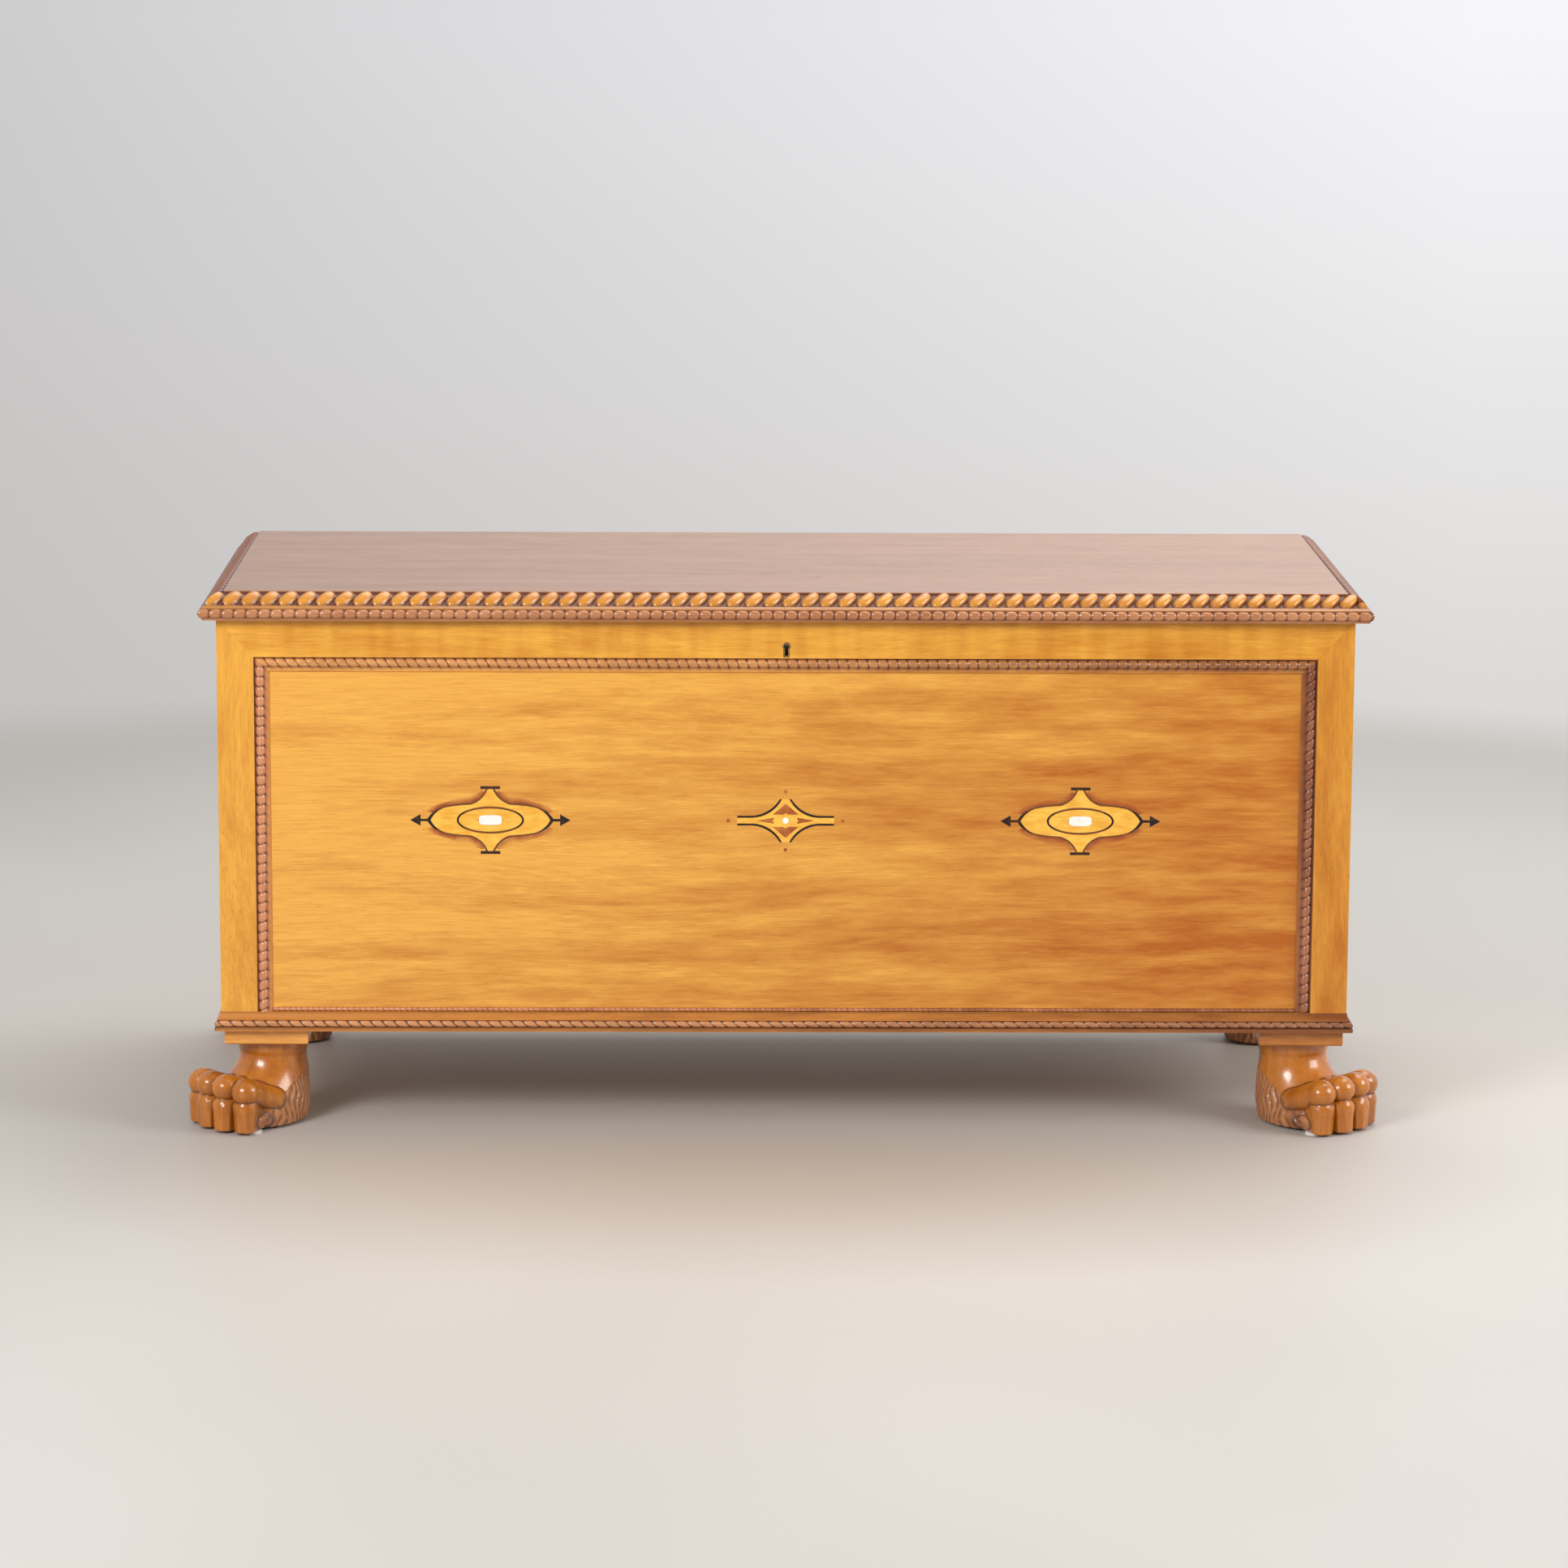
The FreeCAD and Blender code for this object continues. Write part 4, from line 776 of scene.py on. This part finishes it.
def wrap_mouldings(core, bottom, make_outline, prefix, body, finishes, rounded=0.0):
    """A moulding round the front and the two ends of a core box, mitred at the front corners."""
    low, high = core
    sides = {
        "front": (Vector((low.x, low.y, bottom)), -BACK, high.x - low.x, (1, 1), 0.0),
        "left": (Vector((low.x, high.y, bottom)), -RIGHT, high.y - low.y, (1, 0), rounded),
        "right": (Vector((high.x, low.y, bottom)), RIGHT, high.y - low.y, (1, 0), rounded),
    }
    for side, (origin, outward, length, turned, corner) in sides.items():
        node = prefix + side
        node_low, node_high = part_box(node)
        size = node_high - node_low
        width = size.y if side == "front" else size.x
        points, faces, values = sweep(make_outline(width, size.z), length, turned=turned,
                                      rounded=corner, width=width)
        if side == "left":
            points[:, 0] = length - points[:, 0]
        points = np.clip(stand(points, origin, UP, outward), node_low, node_high).tolist()
        make_piece("carved_" + node, points, faces, finishes[side == "front"], body,
                   [node], values)


def seat(node, across, outward):
    """A node's starting corner in its own directions, and its length and width."""
    along = across.cross(outward)
    low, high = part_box(node)
    origin = Vector((0, 0, 0))
    sizes = []
    for direction in (along, across, outward):
        ends = sorted((low.dot(direction), high.dot(direction)))
        origin += direction * ends[0]
        sizes.append(ends[1] - ends[0])
    return origin, sizes[0], sizes[1]


def panel_strips(panel, first, last, outward):
    """The three beaded strips round a panel and the thin one at its foot."""
    along = UP.cross(outward)
    strips = (
        (panel + "_top_bead", -UP, (1, 1), strip_outline, "top_beads"),
        (panel + "_" + first + "_bead", along, (1, 0), strip_outline, "beads"),
        (panel + "_" + last + "_bead", -along, (0, 1), strip_outline, "beads"),
        (panel + "_bottom_bead", UP, (0, 0), low_strip_outline, "beads"),
    )
    for node, across, flat, make_outline, finish in strips:
        origin, length, width = seat(node, across, outward)
        points, faces, values = sweep(make_outline(width), length, flat=flat)
        make_piece("beaded_" + node, stand(points, origin, across, outward), faces,
                   finish, "carcase", [node], values)


# Boards with eased edges

def eased_board(node, finish):
    """A copy of a board whose sharp edges are taken off where they run between plain corners."""
    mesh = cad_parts[node].data.copy()
    work = bmesh.new()
    work.from_mesh(mesh)
    bmesh.ops.remove_doubles(work, verts=work.verts, dist=WELD_DISTANCE)
    bmesh.ops.dissolve_limit(work, angle_limit=FLAT_ANGLE, verts=work.verts, edges=work.edges)
    sharp = [edge for edge in work.edges
             if edge.is_manifold and edge.is_convex and edge.calc_face_angle() > EDGE_ANGLE
             and all(len(point.link_edges) == 3 for point in edge.verts)]
    made = bmesh.ops.bevel(work, geom=sharp, offset=BOARD_EASE, segments=2, profile=0.5,
                           affect="EDGES")
    eased = set(made["faces"])
    shades = [JOINT_SHADE if all(face in eased for face in point.link_faces) else 0.0
              for point in work.verts]
    bmesh.ops.triangulate(work, faces=work.faces)
    work.to_mesh(mesh)
    work.free()
    dress_piece("eased_" + node, mesh, finish, "carcase", [node], {"stain_and_shade": shades},
                BOARD_EDGE_ANGLE)


# Marquetry

def refined(node, longest):
    """A node's mesh with its long edges cut up, round by round."""
    work = bmesh.new()
    work.from_mesh(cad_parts[node].data)
    bmesh.ops.remove_doubles(work, verts=work.verts, dist=WELD_DISTANCE)
    bmesh.ops.triangulate(work, faces=work.faces)
    for _ in range(REFINE_ROUNDS):
        long_edges = [edge for edge in work.edges if edge.calc_length() > longest]
        bmesh.ops.subdivide_edges(work, edges=long_edges, cuts=1)
        bmesh.ops.triangulate(work, faces=work.faces)
    return work


def scorched_shading():
    """The red-brown shading, scorched beside the dark line and fading away from it."""
    node = "inlay_red_shading"
    line = refined("inlay_dark_stringing", SCORCH_GRID)
    tree = KDTree(len(line.verts))
    for index, point in enumerate(line.verts):
        tree.insert(point.co, index)
    tree.balance()
    line.free()
    work = refined(node, SCORCH_GRID)
    burns = []
    for point in work.verts:
        off = tree.find(point.co)[2]
        burn = min(max((SCORCH_REACH - off) / (SCORCH_REACH - SCORCH_FULL), 0.0), 1.0)
        burns.append(1.0 if abs(point.co.x) < STAR_REACH else burn)
    mesh = bpy.data.meshes.new("scorched_shading")
    work.to_mesh(mesh)
    work.free()
    dress_piece("scorched_shading", mesh, "scorched", "carcase", [node],
                {"burn": burns})


def pearl_plates():
    """The pearl centres, a little proud: two long plates and the small star's seed."""
    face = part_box("inlay_pearl")[0].y
    points, faces = [], []
    plates = ((-MEDALLION_SPACING, PEARL_HALF_WIDTH, PEARL_HALF_HEIGHT, PEARL_SQUARENESS),
              (0.0, SEED_RADIUS, SEED_RADIUS, SEED_SQUARENESS),
              (MEDALLION_SPACING, PEARL_HALF_WIDTH, PEARL_HALF_HEIGHT, PEARL_SQUARENESS))
    for middle, half_width, half_height, power in plates:
        start = len(points)
        for scale, rise in PEARL_RINGS:
            for step in range(PEARL_SPOKES):
                angle = 2 * math.pi * step / PEARL_SPOKES
                cosine, sine = math.cos(angle), math.sin(angle)
                reach = (abs(cosine) ** power + abs(sine) ** power) ** (-1 / power)
                points.append((middle + half_width * scale * reach * cosine,
                               face - rise * PEARL_RISE,
                               MEDALLION_HEIGHT + half_height * scale * reach * sine))
        last = len(points) - PEARL_SPOKES
        for here in range(start, last, PEARL_SPOKES):
            there = here + PEARL_SPOKES
            for step in range(PEARL_SPOKES):
                after = (step + 1) % PEARL_SPOKES
                faces.append((here + step, here + after, there + after, there + step))
        faces.append(tuple(range(start, start + PEARL_SPOKES)))
        faces.append(tuple(range(last, last + PEARL_SPOKES)))
    make_piece("pearl_plates", points, faces, "pearl", "carcase", ["inlay_pearl"])


# Paws

def ball(p, centre, radius):
    """Distance to a ball."""
    return np.sqrt(sum((p[i] - centre[i]) ** 2 for i in range(3))) - radius


def bar(p, start, end, start_radius, end_radius):
    """Distance to a round bar that may taper."""
    span = np.array(end) - np.array(start)
    from_start = [p[i] - start[i] for i in range(3)]
    share = np.clip(sum(from_start[i] * span[i] for i in range(3)) / span.dot(span), 0, 1)
    off = np.sqrt(sum((from_start[i] - span[i] * share) ** 2 for i in range(3)))
    return off - (start_radius + (end_radius - start_radius) * share)


def join(first, second, blend):
    """The nearer of two surfaces, with their meeting line filled to a blend."""
    share = np.clip(0.5 + 0.5 * (second - first) / blend, 0, 1)
    return second + (first - second) * share - blend * share * (1 - share)


def ankle(p):
    """Distance to the turned ankle, with its collar, and the heel below it."""
    radius = np.interp(p[2], ANKLE_HEIGHTS, ANKLE_RADII)
    return (np.hypot(p[0] + ANKLE_BACK, p[1]) - radius) * ANKLE_SLOPE_SHARE


def hair_area(p):
    """Where the heel's carved locks are: 1 behind their edge, 0 before it."""
    edge = np.interp(p[2], HAIR_EDGE_HEIGHTS, HAIR_EDGE_PLACES)
    return np.clip((edge - p[0]) / HAIR_FADE, 0, 1)


def hair(p):
    """How deep the locks are cut, from 0 to 1: short strands that overlap like wool."""
    turn = np.arctan2(p[1], -(p[0] + ANKLE_BACK))
    wave = STRAND_WAVE * np.sin(p[2] * STRAND_WAVE_PER_RISE + turn * STRAND_WAVE_PER_TURN)
    strand = np.sin(turn * STRAND_COUNT + wave)
    bend = CUT_WAVE * np.sin(turn * CUT_WAVE_PER_TURN + p[2] * CUT_WAVE_PER_RISE)
    cut = np.sin(p[2] * CUT_PER_RISE + bend)
    depth = HAIR_MIDDLE - STRAND_SHARE * strand - CUT_SHARE * cut * strand
    return np.clip(depth, 0, 1) ** HAIR_SHARPNESS


def toe_tip(along, across, height):
    """Distance to the blunt, faceted end of a toe, down to the floor."""
    front = along - TIP_FRONT + TIP_FOOT_TUCK * (1 - height / TIP_TOP) ** 2
    wide = np.abs(across) - TIP_FACE_HALF_WIDTH
    chamfer = front * math.cos(TIP_CHAMFER) + wide * math.sin(TIP_CHAMFER)
    sides = np.abs(across) - TIP_HALF_WIDTH - (height - TIP_TOP) * TIP_TAPER
    behind = TIP_BACK - along
    top = ((height - TIP_TOP) * math.cos(TIP_TOP_SLOPE)
           + (along - KNUCKLE_REACH) * math.sin(TIP_TOP_SLOPE))
    corner = [np.maximum(face + TIP_ROUND, 0) for face in (front, top)]
    nose = np.sqrt(sum(value ** 2 for value in corner)) - TIP_ROUND
    block = np.maximum.reduce([nose, front, behind, chamfer, sides, top])
    swell = ball((along, across, height), (TIP_BALL_REACH, 0, TIP_BALL_HEIGHT), TIP_BALL_RADIUS)
    return join(block, swell, TIP_BLEND)


def toe(p, angle):
    """Distances to one toe: the ridge with its knuckle, and the tip below."""
    along = p[0] * math.cos(angle) + p[1] * math.sin(angle)
    across = -p[0] * math.sin(angle) + p[1] * math.cos(angle)
    height = p[2]
    inner = abs(angle) < TOE_SPREAD / 3
    knuckle_height = INNER_KNUCKLE_HEIGHT if inner else OUTER_KNUCKLE_HEIGHT
    start = (RIDGE_REACH, 0, knuckle_height - RIDGE_DROP)
    ridge = bar((along, across, height), start, (KNUCKLE_REACH, 0, knuckle_height),
                RIDGE_RADIUS, RIDGE_RADIUS)
    scaled = [(along - KNUCKLE_REACH) / KNUCKLE_HALF[0], across / KNUCKLE_HALF[1],
              (height - knuckle_height) / KNUCKLE_HALF[2]]
    knuckle = (np.sqrt(sum(value ** 2 for value in scaled)) - 1) * min(KNUCKLE_HALF)
    upper = join(ridge, knuckle, KNUCKLE_BLEND)
    if not inner:
        back = np.array(LOBE_BACK_PLACE) * (1, math.copysign(1, angle), 1)
        front = (KNUCKLE_REACH * math.cos(angle), KNUCKLE_REACH * math.sin(angle), knuckle_height)
        upper = join(upper, bar(p, back, front, LOBE_RADIUS, RIDGE_RADIUS), KNUCKLE_BLEND)
    return upper, toe_tip(along, across, height)


def sole_pad(p, side):
    """Distance to the low pad that runs back from an outer toe."""
    angle = side * TOE_SPREAD / 2
    front = (PAD_FRONT_REACH * math.cos(angle), PAD_FRONT_REACH * math.sin(angle), PAD_FRONT_HEIGHT)
    back = np.array(PAD_BACK_PLACE) * (1, side, 1)
    return bar(p, front, back, PAD_RADIUS, PAD_RADIUS)


def paw_surface(p):
    """Distance to the paw, its stain and painted shade in grooves and locks, and where second tones
    show.
    """
    body = join(ankle(p), ball(p, INSTEP_PLACE, INSTEP_RADIUS), INSTEP_BLEND)
    locks = hair_area(p)
    parts = [body + HAIR_DEPTH * hair(p) * locks]
    for index in range(TOE_COUNT):
        upper, tip = toe(p, TOE_SPREAD * (index / (TOE_COUNT - 1) - 0.5))
        parts += [upper, tip]
    parts += [sole_pad(p, side) + HAIR_DEPTH * hair(p) for side in (-1, 1)]
    carved = parts[0]
    for part in parts[1:]:
        carved = join(carved, part, PART_BLEND)
    second = np.partition(np.stack(parts), 1, axis=0)[1]
    groove = np.clip(1 - second / GROOVE_WIDTH, 0, 1)
    pads = np.minimum(parts[-1], parts[-2])
    low_pad = np.clip(1 - (pads - carved) / GROOVE_WIDTH, 0, 1)
    tint = np.maximum(locks, low_pad)
    return carved, np.maximum(GROOVE_SHADE * groove, HAIR_SHADE * hair(p) * tint), tint


def sculpt_paw():
    """The paw's mesh from its distance field, with its grooves and locks."""
    margin = VOXEL_MARGIN * PAW_VOXEL
    low = np.array((*PAW_LOW, PAW_BOTTOM - margin))
    high = np.array((*PAW_HIGH, PAW_TOP + margin))
    counts = np.ceil((high - low) / PAW_VOXEL).astype(int)
    axes = [low[i] + PAW_VOXEL * np.arange(counts[i]) for i in range(3)]
    p = np.meshgrid(*axes, indexing="ij")
    shape = np.maximum.reduce([paw_surface(p)[0], PAW_BOTTOM - p[2], p[2] - PAW_TOP])
    grid = openvdb.FloatGrid()
    grid.background = 1.0
    grid.copyFromArray(np.clip(shape / PAW_VOXEL, -3, 3).astype(np.float32))
    points, triangles, quads = grid.convertToPolygons(isovalue=0.0, adaptivity=0.0)
    points = low + points * PAW_VOXEL
    stain_and_shade, tint = paw_surface(points.T)[1:]
    return points, quads.tolist() + triangles.tolist(), {"stain_and_shade": stain_and_shade, "tint": tint}


def paws():
    """The four carved paws, each turned to its corner."""
    points, faces, values = sculpt_paw()
    cosine, sine = math.cos(-PAW_TURN), math.sin(-PAW_TURN)
    turned = np.stack((points[:, 0] * cosine - points[:, 1] * sine,
                       points[:, 0] * sine + points[:, 1] * cosine, points[:, 2]), axis=1)
    for corner, sign_x, sign_y in (("front_left", -1, 1), ("front_right", 1, 1),
                                   ("back_left", -1, -1), ("back_right", 1, -1)):
        low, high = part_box(corner + "_plinth_block")
        middle = (low + high) / 2
        placed = turned * np.array((sign_x, sign_y, 1)) + np.array((middle.x, middle.y, 0))
        make_piece("carved_" + corner + "_paw", placed.tolist(), faces, "carved", "carcase",
                   [corner + "_paw"], values)


# Finishes of the nodes that keep their shape, and the boards whose edges are eased

FINISHES = {
    "panel": ["front_panel"],
    "side": ["left_panel", "right_panel"],
    "back": ["back_board_upper"],
    "plain": ["bottom_board"],
    "lid": ["lid_panel"],
    "dark": ["inlay_dark_stringing"],
    "light": ["inlay_light_fields"],
    "brass": ["hinge_lower_leaves", "hinge_upper_leaves", "hinge_pins", "hinge_lower_screws",
              "hinge_upper_screws", "keyhole_lining", "strike_plate", "strike_screws"],
    "steel": ["lock_case", "lock_cap", "lock_screws", "lock_bolt"],
    "felt": ["foot_glides"],
}
EASED = {
    "back": ["back_board_lower"],
    "frame_x": ["front_top_rail", "front_bottom_rail"],
    "frame_y": ["left_top_rail", "right_top_rail", "left_bottom_rail", "right_bottom_rail"],
    "frame_z": ["front_left_post", "front_right_post", "back_left_post", "back_right_post"],
    "plinth": ["front_left_plinth_block", "front_right_plinth_block", "back_left_plinth_block",
               "back_right_plinth_block"],
}


def dress_nodes():
    """Give the CAD nodes that stay their finishes."""
    for finish, nodes in FINISHES.items():
        for node in nodes:
            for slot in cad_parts[node].material_slots:
                slot.material = MATERIALS[finish]


# Studio

def add_camera():
    """The camera where the photograph was taken from."""
    forward = Vector((math.sin(CAMERA_YAW) * math.cos(CAMERA_PITCH),
                      math.cos(CAMERA_YAW) * math.cos(CAMERA_PITCH), -math.sin(CAMERA_PITCH)))
    level = Vector((math.cos(CAMERA_YAW), -math.sin(CAMERA_YAW), 0))
    above = level.cross(forward)
    across = math.cos(CAMERA_ROLL) * level + math.sin(CAMERA_ROLL) * above
    upright = -math.sin(CAMERA_ROLL) * level + math.cos(CAMERA_ROLL) * above
    data = bpy.data.cameras.new("studio_camera")
    data.lens = CAMERA_LENS
    data.sensor_width = CAMERA_SENSOR
    camera = add_object("studio_camera", data)
    rows = list(zip(across, upright, -forward, CAMERA_PLACE))
    camera.matrix_world = Matrix(rows + [(0, 0, 0, 1)])
    bpy.context.scene.camera = camera


def add_softbox(name, place, aim, width, height, power):
    """A rectangular studio light turned to a point."""
    data = bpy.data.lights.new(name, "AREA")
    data.shape = "RECTANGLE"
    data.size = width
    data.size_y = height
    data.energy = power
    light = add_object(name, data)
    light.location = place
    light.rotation_mode = "QUATERNION"
    light.rotation_quaternion = (Vector(aim) - Vector(place)).to_track_quat("-Z", "Y")


def add_world():
    """A pale background for the eye and for gloss, and soft light for the rest."""
    world = bpy.data.worlds.new("pale_studio")
    bpy.context.scene.world = world
    tree = Shading(world)
    direction = tree.axes(tree.node("TexCoord").outputs["Generated"])
    rise = tree.remap(direction[2], *BACKGROUND_RISE)
    across = tree.remap(direction[0], *BACKGROUND_SIDES)
    low = tree.mix(across, tone(196, 193, 191), tone(220, 218, 215))
    high = tree.mix(across, tone(204, 203, 204), tone(246, 246, 250))
    colour = tree.mix(rise, low, high)
    shown = tree.node("Background", {"Color": colour, "Strength": 1.0}).outputs[0]
    ahead = tree.remap(direction[1], *BACKGROUND_AHEAD)
    reflected = tree.mix(ahead, tone(118, 114, 110), colour)
    mirrored = tree.node("Background", {"Color": reflected}).outputs[0]
    soft = tree.node("Background", {"Color": tone(240, 240, 240), "Strength": SOFT_STRENGTH})
    rays = tree.node("LightPath").outputs
    gloss = tree.maths("MAXIMUM", rays["Is Glossy Ray"], rays["Is Transmission Ray"])
    lit = tree.node("MixShader", {0: gloss, 1: soft.outputs[0], 2: mirrored}).outputs[0]
    seen = tree.node("MixShader", {0: rays["Is Camera Ray"], 1: lit, 2: shown})
    tree.finish(seen.outputs[0], "World")


def floor_material():
    """Pale matt floor with a painted shadow before the chest, that fades into the background."""
    tree = new_tree("pale_floor")
    place = tree.place()
    cloud = tree.noise(tree.stretch(place, (0.9, 0.7, 1.0)), detail=2.0)
    colour = tree.mix(tree.remap(cloud, 0.35, 0.65), tone(190, 186, 180), tone(198, 194, 188))
    # A painted shadow: the floor is darker in an oval before the chest
    off = tree.node("VectorMath", {0: tree.stretch(place, SHADOW_OVAL_SCALE, SHADOW_OVAL_SHIFT)},
                    operation="LENGTH").outputs["Value"]
    near = tree.remap(off, SHADOW_OVAL_RIM, SHADOW_OVAL_CORE, 0.0, SHADOW_OVAL_SHARE)
    colour = tree.mix(near, colour, tone(176, 165, 154))
    shader = tree.node("BsdfPrincipled", {"Base Color": colour, "Roughness": 0.55}).outputs[0]
    clear = tree.node("BsdfTransparent").outputs[0]
    reach = tree.node("VectorMath", {0: place}, operation="LENGTH").outputs["Value"]
    fade = tree.node("MapRange", {"Value": reach, "From Min": FLOOR_RADIUS - FLOOR_FADE,
                                  "From Max": FLOOR_RADIUS}, interpolation_type="SMOOTHSTEP")
    seen = tree.node("MixShader", {0: fade.outputs["Result"], 1: shader, 2: clear})
    return tree.finish(seen.outputs[0])


def add_floor():
    """A round floor under the chest."""
    mesh = bpy.data.meshes.new("studio_floor")
    work = bmesh.new()
    bmesh.ops.create_circle(work, cap_ends=True, segments=FLOOR_SPOKES, radius=FLOOR_RADIUS)
    work.to_mesh(mesh)
    work.free()
    mesh.materials.append(floor_material())
    add_object("studio_floor", mesh)


def add_studio():
    """Camera, lights, background and floor."""
    add_camera()
    add_world()
    add_floor()
    for softbox in SOFTBOXES:
        add_softbox(*softbox)
    bpy.context.scene.view_settings.view_transform = "Standard"


lid_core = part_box("lid_panel")
body_core = (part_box("front_left_post")[0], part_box("back_right_post")[1])
wrap_mouldings(lid_core, lid_core[0].z, lid_outline, "lid_moulding_", "lid", ("edge", "rope"),
               BACK_CORNER_RADIUS)
wrap_mouldings(body_core, body_core[0].z, base_outline, "base_moulding_", "carcase",
               ("base", "base"))
panel_strips("front_panel", "left", "right", -BACK)
panel_strips("left_panel", "back", "front", -RIGHT)
panel_strips("right_panel", "front", "back", RIGHT)
for board_finish, boards in EASED.items():
    for board in boards:
        eased_board(board, board_finish)
scorched_shading()
pearl_plates()
paws()
dress_nodes()
add_studio()
